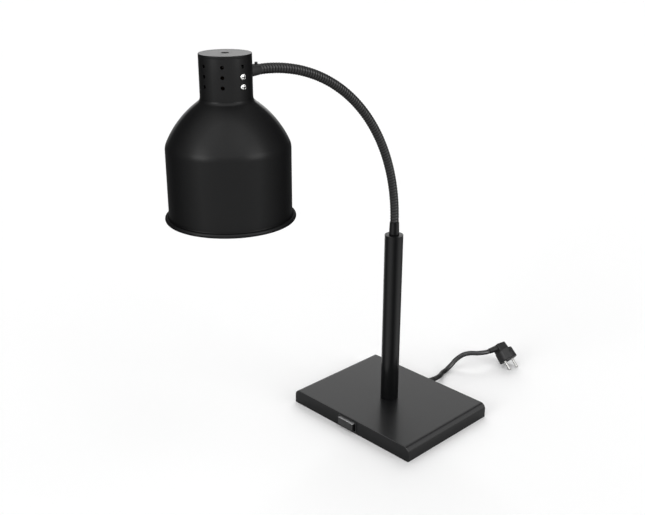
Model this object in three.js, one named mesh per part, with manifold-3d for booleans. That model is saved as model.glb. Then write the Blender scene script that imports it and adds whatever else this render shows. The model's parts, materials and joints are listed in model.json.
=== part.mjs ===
// Flexible food heat lamp on a weighted base, in millimetres, +Z up.
// The base stands on the floor, the bent arm carries the shade in front of it at -Y,
// and the switch is on the front edge.  Every piece is its own named mesh.
import * as THREE from 'three';
import { mergeVertices } from 'three/addons/utils/BufferGeometryUtils.js';
import Module from 'manifold-3d';

const wasm = await Module();
wasm.setup();

// Clearances
const seatGap = 0.3;            // between two pieces that lie on or in each other
const holeClearance = 0.35;     // round a screw, rod or spigot in its hole, on the radius

// Base
const baseLength = 260;         // along X
const baseDepth = 198;          // along Y
const baseHeight = 24.6;        // floor to the top sheet
const baseEdgeRadius = 10;      // rounded folds at the two short ends
const coverWall = 1.5;
const skirtLift = 1.5;          // gap between the floor and the cover's lower edge
const bottomPlateThickness = 2;
const bottomPlateCorner = 6;
const footHeight = 3;
const footRadius = 9;
const footInsetX = 22;          // foot centre from the short end
const footInsetY = 20;          // foot centre from the long edge

// Screws that hold the bottom plate and the ballast to the cover
const screwFromEnd = 23;        // screw centre from the ballast's short end
const screwFromFront = 13;      // from the ballast's front edge
const screwFromBack = 5;
const plateScrewRadius = 2;
const plateScrewHeadRadius = 3.8;
const plateScrewHeadHeight = 1.9;
const plateScrewLength = 18.5;
const bossRadius = 5;

// Ballast
const ballastEndInset = 17;     // from the base's short end
const ballastThickness = 12;
const ballastFrontInset = 31;   // from the base's long edges
const ballastBackInset = 35;
const ballastWellRadius = 17;   // round the pole's nut
const ballastSlotWidth = 13;    // for the lead
const ballastNotch = 17;        // depth of the cut-outs at the switch and at the terminal block

// Pole
const poleRadius = 15;
const poleWall = 2;
const poleLength = 294.1;
const poleInsertLength = 26;
const nippleRadius = 6;
const nippleBore = 4.4;
const nippleBelow = 10.5;       // how far the nipple stands out below the top sheet
const nippleAbove = 22;
const washerRadius = 14;
const washerThickness = 2;
const nutAcrossFlats = 19;
const nutHeight = 5.5;
const topBushLength = 20;

// Flexible arm
const hoseRadius = 7;           // over the ribs
const hoseGrooveRadius = 6.2;   // between the ribs
const hoseBore = 4.9;
const ribPitch = 3;
const hoseInFerrule = 14.5;     // straight length inside each ferrule
const armRise = 21;             // straight stretch above the pole
const armBend = 271;            // radius of the quarter turn
const armRun = 22;              // straight stretch to the neck
const linkCount = 6;            // bending places along the arm
const seatBall = 8;             // radius of the ball face where two links meet

// Ferrules
const lowerFerruleLength = 21;
const lowerFerruleFoot = 8.3;   // radius at the pole
const lowerFerruleTip = 7.5;
const spigotRadius = 6.2;
const spigotLength = 14;
const upperFerruleLength = 27;
const upperFerruleRadius = 8.55;
const upperFerruleTip = 7.4;
const upperFerruleTaper = 10;
const armStudRadius = 5;
const armStudBore = 3.1;
const armStudLength = 8.4;
const armNutAcrossFlats = 16;
const armNutHeight = 4.5;
const setScrewRadius = 2;
const setScrewPlace = 16;       // from the neck end of the ferrule
const setScrewProud = 1.4;

// Neck and its cap
const neckRadius = 33.2;
const neckWall = 1.5;
const neckHeight = 55;
const capSkirt = 3.2;
const capWall = 1.5;
const capSpigotDepth = 5;
const capHoleRadius = 5;
const armBelowTop = 26.3;       // arm axis below the top of the cap
const ventRadius = 2.5;
const ventColumns = 8;
const ventRows = 3;
const ventPitch = 12.5;
const ventBelowTop = 13.3;      // top row below the top of the cap

// Shade
const shadeWall = 1.2;
const ledgeRadius = 35;
const shoulderRadius = 80.5;
const domeHeight = 57;
const domeBulge = 5.3;          // how far the dome's arc stands out from its chord
const shoulderFillet = 9;
const drumHeight = 97.6;        // shoulder to the lower rim
const rimRadius = 86;
const rimBead = 1.9;            // radius of the rolled bead
const rimFlare = 10.5;          // height of the flare above the bead
const collarHeight = 8;

// Lamp holder and bulb
const holderRadius = 20;
const holderHeight = 46;
const holderTopBelowCap = 15.5;
const holderCavityRadius = 15;
const holderCavityDepth = 36;
const holderShellWall = 0.6;
const bulbCapRadius = 13.1;
const bulbCapLength = 27;
const bulbLength = 173;
const bulbRadius = 62.5;
const bulbGlassWall = 1.2;
const bulbShoulder = 8;         // straight neck below the cap
const bulbWidest = 22;          // widest ring above the face's lowest point
const bulbEdgeRadius = 12;
const bulbEdgeDrop = 6;         // the edge's centre below the widest ring
const bulbFaceFlat = 26;        // radius of the nearly flat middle of the face
const bulbTipGap = 3;           // contact spring between the holder and the bulb's tip

// Holder bracket
const bracketThickness = 1.5;
const bracketWidth = 14;
const bracketReach = 13;        // past the axis, to the second holder screw
const bracketScrewRadius = 2;
const bracketScrewHead = 3.7;
const bracketScrewHeadHeight = 2.3;
const bracketScrewLength = 9;
const holderScrewSpacing = 20;
const holderScrewRadius = 1.6;
const holderScrewHead = 3;
const holderScrewLength = 9;

// Rocker switch
const switchPlaceX = -2.7;
const switchPlaceZ = 11.65;
const rockerLength = 34;
const rockerHeight = 13;
const rockerSideGap = 1.3;
const rockerProud = 4.2;        // both ends, when the rocker is level
const rockerDip = 1.6;          // how far the middle lies below the ends
const rockerTilt = 4.5;         // degrees, its right end out
const rockerDepth = 6;
const rockerPinRadius = 1.4;
const rockerPinPlace = 2;       // behind the base's front
const housingWall = 1;
const housingDepth = 25;
const bezelRim = 2;
const bezelProud = 1.6;
const tabWidth = 6.3;
const tabThickness = 0.8;
const tabLength = 8;
const tabSpacing = 14;

// Leads
const cordRadius = 4.3;
const leadRadius = 2;
const wireRadius = 1.2;
const wireRise = 0.7;           // clear height of the switch wires over the ballast
const wireClear = 8;            // between the washer's edge and the wires' middle
const cordExitZ = 12;
const glandLength = 21;
const glandRootRadius = 8;
const glandTipRadius = 5.4;
const glandFlangeRadius = 10;
const glandFlange = 1.8;
const terminalLength = 32;
const terminalDepth = 18;
const terminalHeight = 12;
const terminalHoleShare = 0.4;  // height of its holes in the block
const terminalBackInset = 14;   // behind the block, to the back wall

// Plug with two pins
const plugFaceRadius = 17.75;
const plugFaceDepth = 19.5;
const plugTaper = 0.8;          // how much narrower the round body is at its back
const plugHoodDepth = 16;
const plugHoodHeight = 18;
const plugHoodCordSide = 14;    // from the plug's axis to the side that the cord leaves
const plugHoodFarSide = 8.7;
const plugReliefLength = 17;
const plugReliefRoot = 6.6;
const plugReliefTip = 5.1;
const plugReliefBack = 7;       // relief's axis in front of the hood's back
const pinHoleDepth = 12;
const pinInPlug = 11.5;
const pinRadius = 2.4;
const pinLength = 19;
const pinPitch = 19;
const clipWidth = 6;
const clipThickness = 0.8;
const pinChamfer = 1;
const plugTurn = -7.8;          // degrees about Z
const plugPlace = [51, 278.5];

// The power cord's line between the gland's sleeve and the plug's
const cordRoute = [
  [0, 126.3, 12],
  [-2.2, 138, 10.2],
  [-7.9, 150.4, 6.6],
  [-13, 161.8, 4.9],
  [-15.2, 175.8, 4.9],
  [-15.3, 189.9, 9.7],
  [-12.9, 200.8, 17.9],
  [-4.8, 210.9, 27.3],
  [5, 218, 31.8],
  [16.6, 228.2, 32.5],
];

// Worked out from the sizes above
const degrees = Math.PI / 180;
const topSheet = baseHeight;
const undersideOfTop = baseHeight - coverWall;
const plateTop = footHeight + bottomPlateThickness;
const poleFoot = topSheet + seatGap;
const poleTop = poleFoot + poleLength;
const bendStart = poleTop + armRise;
const armHeight = bendStart + armBend;
const headReach = armBend + armRun + neckRadius;
const capTop = armHeight + armBelowTop;
const neckTop = capTop - capSkirt - seatGap;
const neckFoot = neckTop - neckHeight;
const ledgeHeight = neckFoot - seatGap;
const shoulderHeight = ledgeHeight - domeHeight;
const rimHeight = shoulderHeight - drumHeight;
const holderTop = capTop - holderTopBelowCap;
const holderFoot = holderTop - holderHeight;
const bulbTip = holderFoot + holderCavityDepth - bulbTipGap;
const bulbFace = bulbTip - bulbLength;
const frontReach = headReach + rimRadius;

const finish = {
  blackPaint: [0x17181a, 0.45, 0.3],
  blackPlastic: [0x141416, 0.5, 0.0],
  steel: [0x9a9ca0, 0.4, 0.9],
  rawSteel: [0x5c5e62, 0.6, 0.8],
  nickel: [0xcfd0d2, 0.2, 1.0],
  brass: [0xc0a058, 0.3, 1.0],
  rubber: [0x202022, 0.8, 0.0],
  porcelain: [0xe9e6de, 0.3, 0.0],
  rubyGlass: [0x8e1414, 0.1, 0.0],
  lead: [0xd8d4c8, 0.6, 0.0],
};

// Solids

// Keeps the corners only, merged, without slivers, and turned to face outwards.
function closed(geometry) {
  const bare = geometry.clone();
  bare.deleteAttribute('normal');
  bare.deleteAttribute('uv');
  const merged = mergeVertices(bare, 1e-4);
  const source = merged.index.array;
  const place = merged.attributes.position;
  const faces = [];
  let volume = 0;
  const a = new THREE.Vector3();
  const b = new THREE.Vector3();
  const c = new THREE.Vector3();
  for (let i = 0; i < source.length; i += 3) {
    const [p, q, r] = [source[i], source[i + 1], source[i + 2]];
    if (p === q || q === r || r === p) continue;
    faces.push(p, q, r);
    a.fromBufferAttribute(place, p);
    b.fromBufferAttribute(place, q);
    c.fromBufferAttribute(place, r);
    volume += a.dot(b.cross(c));
  }
  if (volume < 0) faces.reverse();
  merged.setIndex(faces);
  return merged;
}

function toManifold(geometry) {
  const g = closed(geometry);
  const mesh = new wasm.Mesh({
    numProp: 3,
    vertProperties: new Float32Array(g.attributes.position.array),
    triVerts: new Uint32Array(g.index.array),
  });
  return new wasm.Manifold(mesh);
}

function fromManifold(manifold) {
  const mesh = manifold.getMesh();
  const g = new THREE.BufferGeometry();
  g.setAttribute('position', new THREE.BufferAttribute(new Float32Array(mesh.vertProperties), 3));
  g.setIndex(Array.from(mesh.triVerts));
  return g;
}

function cut(body, ...tools) {
  let left = toManifold(body);
  for (const tool of tools) left = left.subtract(toManifold(tool));
  return fromManifold(left);
}

function join(...bodies) {
  let sum = toManifold(bodies[0]);
  for (const body of bodies.slice(1)) sum = sum.add(toManifold(body));
  return fromManifold(sum);
}

// A profile of [radius, z] points turned about Z.
function revolve(profile, sides = 32) {
  const points = profile.map(([r, z]) => new THREE.Vector2(Math.max(r, 0), z));
  return new THREE.LatheGeometry(points, sides).rotateX(Math.PI / 2);
}

function rod(radius, low, high, sides = 16) {
  return revolve([[0, low], [radius, low], [radius, high], [0, high]], sides);
}

function tube(outer, inner, low, high, sides = 24) {
  return revolve([[inner, low], [outer, low], [outer, high], [inner, high], [inner, low]], sides);
}

function prism(shape, low, high, curveSegments = 6) {
  const g = new THREE.ExtrudeGeometry(shape, { depth: high - low, bevelEnabled: false, curveSegments });
  return g.translate(0, 0, low);
}

function box(x0, x1, y0, y1, z0, z1) {
  const g = new THREE.BoxGeometry(x1 - x0, y1 - y0, z1 - z0);
  return g.translate((x0 + x1) / 2, (y0 + y1) / 2, (z0 + z1) / 2);
}

function roundedRectangle(x0, x1, y0, y1, radius) {
  const s = new THREE.Shape();
  s.moveTo(x0 + radius, y0);
  s.lineTo(x1 - radius, y0);
  s.absarc(x1 - radius, y0 + radius, radius, -Math.PI / 2, 0);
  s.lineTo(x1, y1 - radius);
  s.absarc(x1 - radius, y1 - radius, radius, 0, Math.PI / 2);
  s.lineTo(x0 + radius, y1);
  s.absarc(x0 + radius, y1 - radius, radius, Math.PI / 2, Math.PI);
  s.lineTo(x0, y0 + radius);
  s.absarc(x0 + radius, y0 + radius, radius, Math.PI, 1.5 * Math.PI);
  return s;
}

function hexagon(acrossFlats, bore) {
  const s = new THREE.Shape();
  const corner = acrossFlats / 2 / Math.cos(30 * degrees);
  for (let k = 0; k < 6; k += 1) {
    const x = corner * Math.cos(k * 60 * degrees);
    const y = corner * Math.sin(k * 60 * degrees);
    if (k === 0) s.moveTo(x, y);
    else s.lineTo(x, y);
  }
  const hole = new THREE.Path();
  hole.absarc(0, 0, bore, 0, 2 * Math.PI, true);
  s.holes.push(hole);
  return s;
}

// A round lead along a smooth line through the points.
function lead(points, radius, steps, sides = 8) {
  const line = new THREE.CatmullRomCurve3(points.map((p) => new THREE.Vector3(...p)), false, 'centripetal');
  const section = new THREE.Shape();
  for (let k = 0; k < sides; k += 1) {
    const x = radius * Math.cos((2 * Math.PI * k) / sides);
    const y = radius * Math.sin((2 * Math.PI * k) / sides);
    if (k === 0) section.moveTo(x, y);
    else section.lineTo(x, y);
  }
  return new THREE.ExtrudeGeometry(section, { steps, bevelEnabled: false, extrudePath: line });
}

// A screw whose head is at z = 0 and below, and whose shank points up.
function screw(headRadius, headHeight, shankRadius, length, sides = 16) {
  return revolve([
    [0, -headHeight],
    [headRadius * 0.55, -headHeight],
    [headRadius * 0.9, -headHeight * 0.62],
    [headRadius, -headHeight * 0.2],
    [headRadius, 0],
    [shankRadius, 0],
    [shankRadius, length - shankRadius * 0.6],
    [shankRadius * 0.4, length],
    [0, length],
  ], sides);
}

const lamp = new THREE.Group();
const stand = new THREE.Group();
const arm = new THREE.Group();
const head = new THREE.Group();
const plug = new THREE.Group();
head.position.set(0, -headReach, 0);
stand.add(arm, head, plug);
lamp.add(stand);
// The origin is on the floor below the middle of the lamp's length and width.
stand.position.y = (frontReach - baseDepth / 2) / 2;

function piece(name, geometry, look, group = stand) {
  const [color, roughness, metalness] = look;
  const material = new THREE.MeshStandardMaterial({ color, roughness, metalness });
  const mesh = new THREE.Mesh(closed(geometry), material);
  mesh.name = name;
  group.add(mesh);
  return mesh;
}

// Base

const ballastLength = baseLength - 2 * ballastEndInset;
const ballastFront = -baseDepth / 2 + ballastFrontInset;
const ballastBack = baseDepth / 2 - ballastBackInset;
const screwPlaces = [-1, 1].flatMap((side) => [
  [side * (ballastLength / 2 - screwFromEnd), ballastFront + screwFromFront],
  [side * (ballastLength / 2 - screwFromEnd), ballastBack - screwFromBack],
]);
const footPlaces = [-1, 1].flatMap((sx) => [-1, 1].map((sy) => [
  sx * (baseLength / 2 - footInsetX),
  sy * (baseDepth / 2 - footInsetY),
]));
const ballastTop = plateTop + seatGap + ballastThickness;
const housingOuterX = rockerLength / 2 + rockerSideGap + housingWall;
const housingOuterZ = rockerHeight / 2 + seatGap + housingWall;
const glandHole = glandRootRadius - 2;

// The folded sheet seen from the front: flat top, large folds at the short ends.
function coverOutline(inset, low) {
  const half = baseLength / 2 - inset;
  const top = topSheet - inset;
  const fold = Math.max(baseEdgeRadius - inset, 0.5);
  const s = new THREE.Shape();
  s.moveTo(-half, low);
  s.lineTo(half, low);
  s.lineTo(half, top - fold);
  s.absarc(half - fold, top - fold, fold, 0, Math.PI / 2);
  s.lineTo(-half + fold, top);
  s.absarc(-half + fold, top - fold, fold, Math.PI / 2, Math.PI);
  return s;
}

// Lays a prism's length along Y, evenly about the pole.
function alongY(outline, depth) {
  return prism(outline, -depth / 2, depth / 2).rotateX(Math.PI / 2);
}

function makeCover() {
  const halfDepth = baseDepth / 2;
  const outer = alongY(coverOutline(0, skirtLift), baseDepth);
  const inner = alongY(coverOutline(coverWall, skirtLift - 1), baseDepth - 2 * coverWall);
  const shell = cut(outer, inner);
  const bosses = screwPlaces.map(([x, y]) => rod(
    bossRadius,
    ballastTop + seatGap,
    undersideOfTop + coverWall / 2,
  ).translate(x, y, 0));
  const pilots = screwPlaces.map(([x, y]) => rod(
    plateScrewRadius + holeClearance,
    ballastTop,
    footHeight - seatGap + plateScrewLength + seatGap,
  ).translate(x, y, 0));
  const nippleHole = rod(nippleRadius + holeClearance, undersideOfTop - 1, topSheet + 1);
  const switchHole = box(
    switchPlaceX - housingOuterX - holeClearance,
    switchPlaceX + housingOuterX + holeClearance,
    -halfDepth - 1,
    -halfDepth + coverWall + 1,
    switchPlaceZ - housingOuterZ - holeClearance,
    switchPlaceZ + housingOuterZ + holeClearance,
  );
  const cordHole = rod(glandHole + holeClearance, -coverWall - 1, 1)
    .rotateX(-Math.PI / 2).translate(0, halfDepth, cordExitZ);
  return cut(join(shell, ...bosses), ...pilots, nippleHole, switchHole, cordHole);
}
piece('base_cover', makeCover(), finish.blackPaint);

function makeBottomPlate() {
  const halfX = baseLength / 2 - coverWall - seatGap;
  const halfY = baseDepth / 2 - coverWall - seatGap;
  const s = roundedRectangle(-halfX, halfX, -halfY, halfY, bottomPlateCorner);
  for (const [x, y] of screwPlaces) {
    const hole = new THREE.Path();
    hole.absarc(x, y, plateScrewRadius + holeClearance, 0, 2 * Math.PI, true);
    s.holes.push(hole);
  }
  const switchNotch = box(
    switchPlaceX - housingOuterX - 1,
    switchPlaceX + housingOuterX + 1,
    -baseDepth / 2,
    -baseDepth / 2 + housingDepth + 1,
    footHeight - 1,
    plateTop + 1,
  );
  const glandNotch = box(
    -glandFlangeRadius,
    glandFlangeRadius,
    halfY - glandFlange - 1,
    halfY + 1,
    footHeight - 1,
    plateTop + 1,
  );
  return cut(prism(s, footHeight, plateTop), switchNotch, glandNotch);
}
piece('bottom_plate', makeBottomPlate(), finish.rawSteel);

function makeBallast() {
  const low = plateTop + seatGap;
  const slab = box(-ballastLength / 2, ballastLength / 2, ballastFront, ballastBack, low, ballastTop);
  const well = rod(ballastWellRadius, low - 1, ballastTop + 1, 28);
  const switchNotch = box(
    switchPlaceX - housingOuterX - 3,
    switchPlaceX + housingOuterX + 3,
    ballastFront - 1,
    ballastFront + ballastNotch,
    low - 1,
    ballastTop + 1,
  );
  const blockNotch = box(
    -terminalLength / 2,
    terminalLength / 2,
    ballastBack - ballastNotch,
    ballastBack + 1,
    low - 1,
    ballastTop + 1,
  );
  const slot = box(-ballastSlotWidth / 2, ballastSlotWidth / 2, 0, ballastBack + 1, low - 1, ballastTop + 1);
  const holes = screwPlaces.map(([x, y]) => rod(plateScrewRadius + holeClearance, low - 1, ballastTop + 1)
    .translate(x, y, 0));
  return cut(slab, well, slot, switchNotch, blockNotch, ...holes);
}
piece('ballast_plate', makeBallast(), finish.rawSteel);

const footProfile = [
  [0, 0],
  [footRadius - 1, 0],
  [footRadius, 0.8],
  [footRadius - 0.4, footHeight - seatGap],
  [0, footHeight - seatGap],
];
footPlaces.forEach(([x, y], k) => {
  piece(`rubber_foot_${k + 1}`, revolve(footProfile, 20), finish.rubber).position.set(x, y, 0);
});
screwPlaces.forEach(([x, y], k) => {
  const body = screw(plateScrewHeadRadius, plateScrewHeadHeight, plateScrewRadius, plateScrewLength, 12);
  piece(`plate_screw_${k + 1}`, body, finish.steel).position.set(x, y, footHeight - seatGap);
});

// Pole and what holds it

const insideOfPole = poleRadius - poleWall - seatGap;
const nippleLow = undersideOfTop - nippleBelow;
piece('pole_tube', tube(poleRadius, poleRadius - poleWall, poleFoot, poleTop, 32), finish.blackPaint);
piece(
  'pole_foot_insert',
  tube(insideOfPole, nippleRadius + holeClearance, poleFoot, poleFoot + poleInsertLength),
  finish.steel,
);
piece('pole_nipple', tube(nippleRadius, nippleBore, nippleLow, topSheet + nippleAbove, 24), finish.steel);
const washerTop = undersideOfTop - seatGap;
piece(
  'pole_washer',
  tube(washerRadius, nippleRadius + holeClearance, washerTop - washerThickness, washerTop),
  finish.steel,
);
const nutTop = washerTop - washerThickness - seatGap;
piece(
  'pole_nut',
  prism(hexagon(nutAcrossFlats, nippleRadius + holeClearance), nutTop - nutHeight, nutTop),
  finish.steel,
);
piece(
  'pole_top_bush',
  tube(insideOfPole, spigotRadius + holeClearance, poleTop - topBushLength, poleTop),
  finish.steel,
);

// Lower ferrule: a cone round the hose's plain end, with a spigot down into the bush.
const ferruleFoot = poleTop + seatGap;
const ferruleTip = ferruleFoot + lowerFerruleLength;
const hoseStart = ferruleTip - hoseInFerrule;
const socketRadius = hoseGrooveRadius + seatGap;
piece('lower_ferrule', revolve([
  [nippleBore, ferruleFoot - spigotLength],
  [spigotRadius, ferruleFoot - spigotLength],
  [spigotRadius, ferruleFoot],
  [lowerFerruleFoot, ferruleFoot],
  [lowerFerruleTip, ferruleTip],
  [socketRadius, ferruleTip],
  [socketRadius, hoseStart - seatGap],
  [nippleBore, hoseStart - seatGap],
  [nippleBore, ferruleFoot - spigotLength],
], 24), finish.blackPaint);

// Flexible arm
// Its line rises from the pole, turns forward through a quarter circle and runs to the neck.

function armFrame(turn) {
  // Place, direction and inward direction at an angle along the quarter circle.
  return {
    place: new THREE.Vector3(0, -armBend + armBend * Math.cos(turn), bendStart + armBend * Math.sin(turn)),
    along: new THREE.Vector3(0, -Math.sin(turn), Math.cos(turn)),
    inward: new THREE.Vector3(0, -Math.cos(turn), -Math.sin(turn)),
  };
}

function armAt(s) {
  // s is the distance along the hose from its lower end.
  const rise = bendStart - hoseStart;
  const arc = armBend * Math.PI / 2;
  if (s <= rise) {
    const f = armFrame(0);
    f.place.z = hoseStart + s;
    return f;
  }
  if (s <= rise + arc) return armFrame((s - rise) / armBend);
  const f = armFrame(Math.PI / 2);
  f.place.y -= s - rise - arc;
  return f;
}

// One ring of points round the arm's line; lift moves it along the line from the frame's place.
// The start angle keeps any two of its corners from lying level with each other.
const ringStart = 6 * degrees;
function ring(frame, radius, count, lift = 0) {
  const points = [];
  for (let k = 0; k < count; k += 1) {
    const angle = ringStart + (2 * Math.PI * k) / count;
    points.push(frame.place.clone()
      .addScaledVector(frame.along, lift)
      .addScaledVector(new THREE.Vector3(1, 0, 0), radius * Math.cos(angle))
      .addScaledVector(frame.inward, radius * Math.sin(angle)));
  }
  return points;
}

// Joins rings, each to the next and the last to the first, into one closed ring-shaped body.
// Two neighbouring rings have equal counts, or one has twice the other's.
function bandBody(rings) {
  const starts = [];
  const coordinates = [];
  for (const points of rings) {
    starts.push(coordinates.length / 3);
    for (const p of points) coordinates.push(p.x, p.y, p.z);
  }
  const faces = [];
  rings.forEach((points, i) => {
    const j = (i + 1) % rings.length;
    const here = points.length;
    const next = rings[j].length;
    const fine = Math.max(here, next);
    for (let k = 0; k < fine; k += 1) {
      const a0 = starts[i] + Math.floor((k * here) / fine);
      const a1 = starts[i] + (Math.floor(((k + 1) * here) / fine) % here);
      const b0 = starts[j] + Math.floor((k * next) / fine);
      const b1 = starts[j] + (Math.floor(((k + 1) * next) / fine) % next);
      if (a0 !== a1) faces.push(a0, a1, b0);
      if (b0 !== b1) faces.push(a1, b1, b0);
    }
  });
  const g = new THREE.BufferGeometry();
  g.setAttribute('position', new THREE.BufferAttribute(new Float32Array(coordinates), 3));
  g.setIndex(faces);
  return g;
}

const ribSides = 8;
const seatSides = 16;
const boreEvery = 5;            // ribs to one ring of the bore
const hoseRise = bendStart - hoseStart;
const hoseLength = hoseRise + armBend * Math.PI / 2 + hoseInFerrule;
const ferruleNeckEnd = neckRadius + seatGap;
const hoseTipFromAxis = headReach - armBend - hoseInFerrule;
const plainTop = hoseLength - (ferruleNeckEnd + upperFerruleLength - hoseTipFromAxis);
const linkTurns = Array.from({ length: linkCount }, (_, k) => ((k + 0.5) * Math.PI) / 2 / linkCount);
// The cup's ball is larger, so that its flat facets stay clear of the ball face inside it.
const flatLoss = Math.cos(Math.PI / seatSides);
const cupBall = Math.hypot(seatBall + seatGap / 3, hoseRadius * Math.sin(Math.PI / seatSides) / flatLoss);

function onBall(ball, radius) {
  return Math.sqrt(ball * ball - radius * radius);
}

// The rings of a ball face about a joint, from the outside of the hose to its bore.
function seatRings(turn, ball) {
  const frame = armFrame(turn);
  const middle = (hoseRadius + hoseBore) / 2;
  return [hoseRadius, middle, hoseBore].map((r) => ring(frame, r, seatSides, onBall(ball, r)));
}

// A length of hose between two bending places, or from a plain end to one.
function makeHose(fromTurn, toTurn) {
  const placeOf = (turn) => hoseRise + armBend * turn;
  const plainStart = fromTurn === null;
  const plainEnd = toTurn === null;
  const low = plainStart ? hoseInFerrule + ribPitch / 2 : placeOf(fromTurn) + onBall(cupBall, hoseRadius);
  const high = plainEnd ? plainTop - ribPitch / 2 : placeOf(toTurn) + onBall(seatBall, hoseRadius);
  const ribs = Math.round((high - low) / ribPitch);
  const step = (high - low) / (2 * ribs);
  const outside = [];
  if (plainStart) {
    outside.push(ring(armAt(0), hoseGrooveRadius, ribSides));
    outside.push(ring(armAt(hoseInFerrule), hoseGrooveRadius, ribSides));
  }
  const first = plainStart ? 0 : 1;
  const last = plainEnd ? 2 * ribs : 2 * ribs - 1;
  for (let k = first; k <= last; k += 1) {
    outside.push(ring(armAt(low + k * step), k % 2 === 0 ? hoseRadius : hoseGrooveRadius, ribSides));
  }
  if (plainEnd) {
    outside.push(ring(armAt(plainTop), hoseGrooveRadius, ribSides));
    outside.push(ring(armAt(hoseLength), hoseGrooveRadius, ribSides));
  }
  const bottom = plainStart ? [ring(armAt(0), hoseBore, ribSides)] : seatRings(fromTurn, cupBall).reverse();
  const top = plainEnd ? [ring(armAt(hoseLength), hoseBore, ribSides)] : seatRings(toTurn, seatBall);
  const bore = [];
  for (let k = ribs - boreEvery; k >= boreEvery; k -= boreEvery) {
    bore.push(ring(armAt(low + 2 * k * step), hoseBore, ribSides));
  }
  return bandBody([...bottom, ...outside, ...top, ...bore]);
}

piece('gooseneck_root', makeHose(null, linkTurns[0]), finish.blackPaint, arm);
for (let k = 1; k < linkCount; k += 1) {
  piece(`gooseneck_link_${k}`, makeHose(linkTurns[k - 1], linkTurns[k]), finish.blackPaint, arm);
}
piece('gooseneck_tip', makeHose(linkTurns[linkCount - 1], null), finish.blackPaint, arm);

// Upper ferrule, its screw and its nut inside the neck.
// It is turned about Z and then laid along +Y, so its profile's z is the distance from the neck.
const armNutCorner = armNutAcrossFlats / 2 / Math.cos(30 * degrees);
const inNeckWall = Math.sqrt((neckRadius - neckWall) ** 2 - armNutCorner ** 2);
const nutOutside = inNeckWall - seatGap;
const studEnd = ferruleNeckEnd - armStudLength;

function layAlongY(geometry) {
  return geometry.rotateX(-Math.PI / 2).translate(0, 0, armHeight);
}

function makeUpperFerrule() {
  const tip = ferruleNeckEnd + upperFerruleLength;
  const socketEnd = hoseTipFromAxis - seatGap;
  const body = revolve([
    [armStudBore, studEnd],
    [armStudRadius, studEnd],
    [armStudRadius, ferruleNeckEnd],
    [upperFerruleRadius, ferruleNeckEnd],
    [upperFerruleRadius, tip - upperFerruleTaper],
    [upperFerruleTip, tip],
    [socketRadius, tip],
    [socketRadius, socketEnd],
    [armStudBore, socketEnd],
    [armStudBore, studEnd],
  ], 24);
  const hole = rod(setScrewRadius + holeClearance, socketRadius - 1, upperFerruleRadius + 1, 12);
  return cut(layAlongY(body), hole.translate(0, ferruleNeckEnd + setScrewPlace, armHeight));
}
piece('upper_ferrule', makeUpperFerrule(), finish.blackPaint, head);
piece(
  'ferrule_set_screw',
  rod(setScrewRadius, hoseGrooveRadius + seatGap, upperFerruleRadius + setScrewProud, 12),
  finish.steel,
  head,
).position.set(0, ferruleNeckEnd + setScrewPlace, armHeight);
piece(
  'arm_nut',
  layAlongY(prism(hexagon(armNutAcrossFlats, armStudRadius + holeClearance), nutOutside - armNutHeight, nutOutside)),
  finish.steel,
  head,
);

// Neck with its columns of vents; the arm takes the place of the column at the back.
const ventTurns = Array.from({ length: ventColumns }, (_, k) => -Math.PI / 2 + (2 * Math.PI * k) / ventColumns);
const ventHeights = Array.from({ length: ventRows }, (_, k) => capTop - ventBelowTop - k * ventPitch);

function throughNeckWall(radius, turn, height, sides = 10) {
  return rod(radius, neckRadius - neckWall - 3, neckRadius + 3, sides)
    .rotateY(Math.PI / 2).rotateZ(turn).translate(0, 0, height);
}

function makeNeck() {
  const sleeve = tube(neckRadius, neckRadius - neckWall, neckFoot, neckTop, 44);
  const holes = [throughNeckWall(armStudRadius + holeClearance, Math.PI / 2, armHeight, 20)];
  for (const turn of ventTurns) {
    if (Math.abs(turn - Math.PI / 2) < 0.1) continue;
    for (const height of ventHeights) holes.push(throughNeckWall(ventRadius, turn, height));
  }
  return cut(sleeve, ...holes);
}
piece('neck_housing', makeNeck(), finish.blackPaint, head);

const capSpigot = neckRadius - neckWall - seatGap;
piece('neck_cap', revolve([
  [capHoleRadius, capTop - capWall],
  [capSpigot - capWall, capTop - capWall],
  [capSpigot - capWall, neckTop - capSpigotDepth],
  [capSpigot, neckTop - capSpigotDepth],
  [capSpigot, neckTop + seatGap],
  [neckRadius, neckTop + seatGap],
  [neckRadius, capTop - 0.4],
  [neckRadius - 0.4, capTop],
  [capHoleRadius, capTop],
  [capHoleRadius, capTop - capWall],
], 36), finish.blackPaint, head);

// Shade
// The dome is one arc from the ledge to the shoulder, the drum runs down to a flare
// with a rolled bead, and a collar at the top centres the neck.

function arcPoints(cx, cz, radius, from, to, steps) {
  return Array.from({ length: steps + 1 }, (_, k) => {
    const a = from + ((to - from) * k) / steps;
    return [cx + radius * Math.cos(a), cz + radius * Math.sin(a)];
  });
}

// The dome's arc: its centre and radius from the chord and the bulge.
function domeArc(r0, z0, r1, z1, bulge) {
  const dx = r1 - r0;
  const dz = z1 - z0;
  const chord = Math.hypot(dx, dz);
  const radius = (chord * chord / 4 + bulge * bulge) / (2 * bulge);
  const back = radius - bulge;
  const cx = (r0 + r1) / 2 + (dz / chord) * back;
  const cz = (z0 + z1) / 2 - (dx / chord) * back;
  return { cx, cz, radius, from: Math.atan2(z0 - cz, r0 - cx), to: Math.atan2(z1 - cz, r1 - cx) };
}

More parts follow.
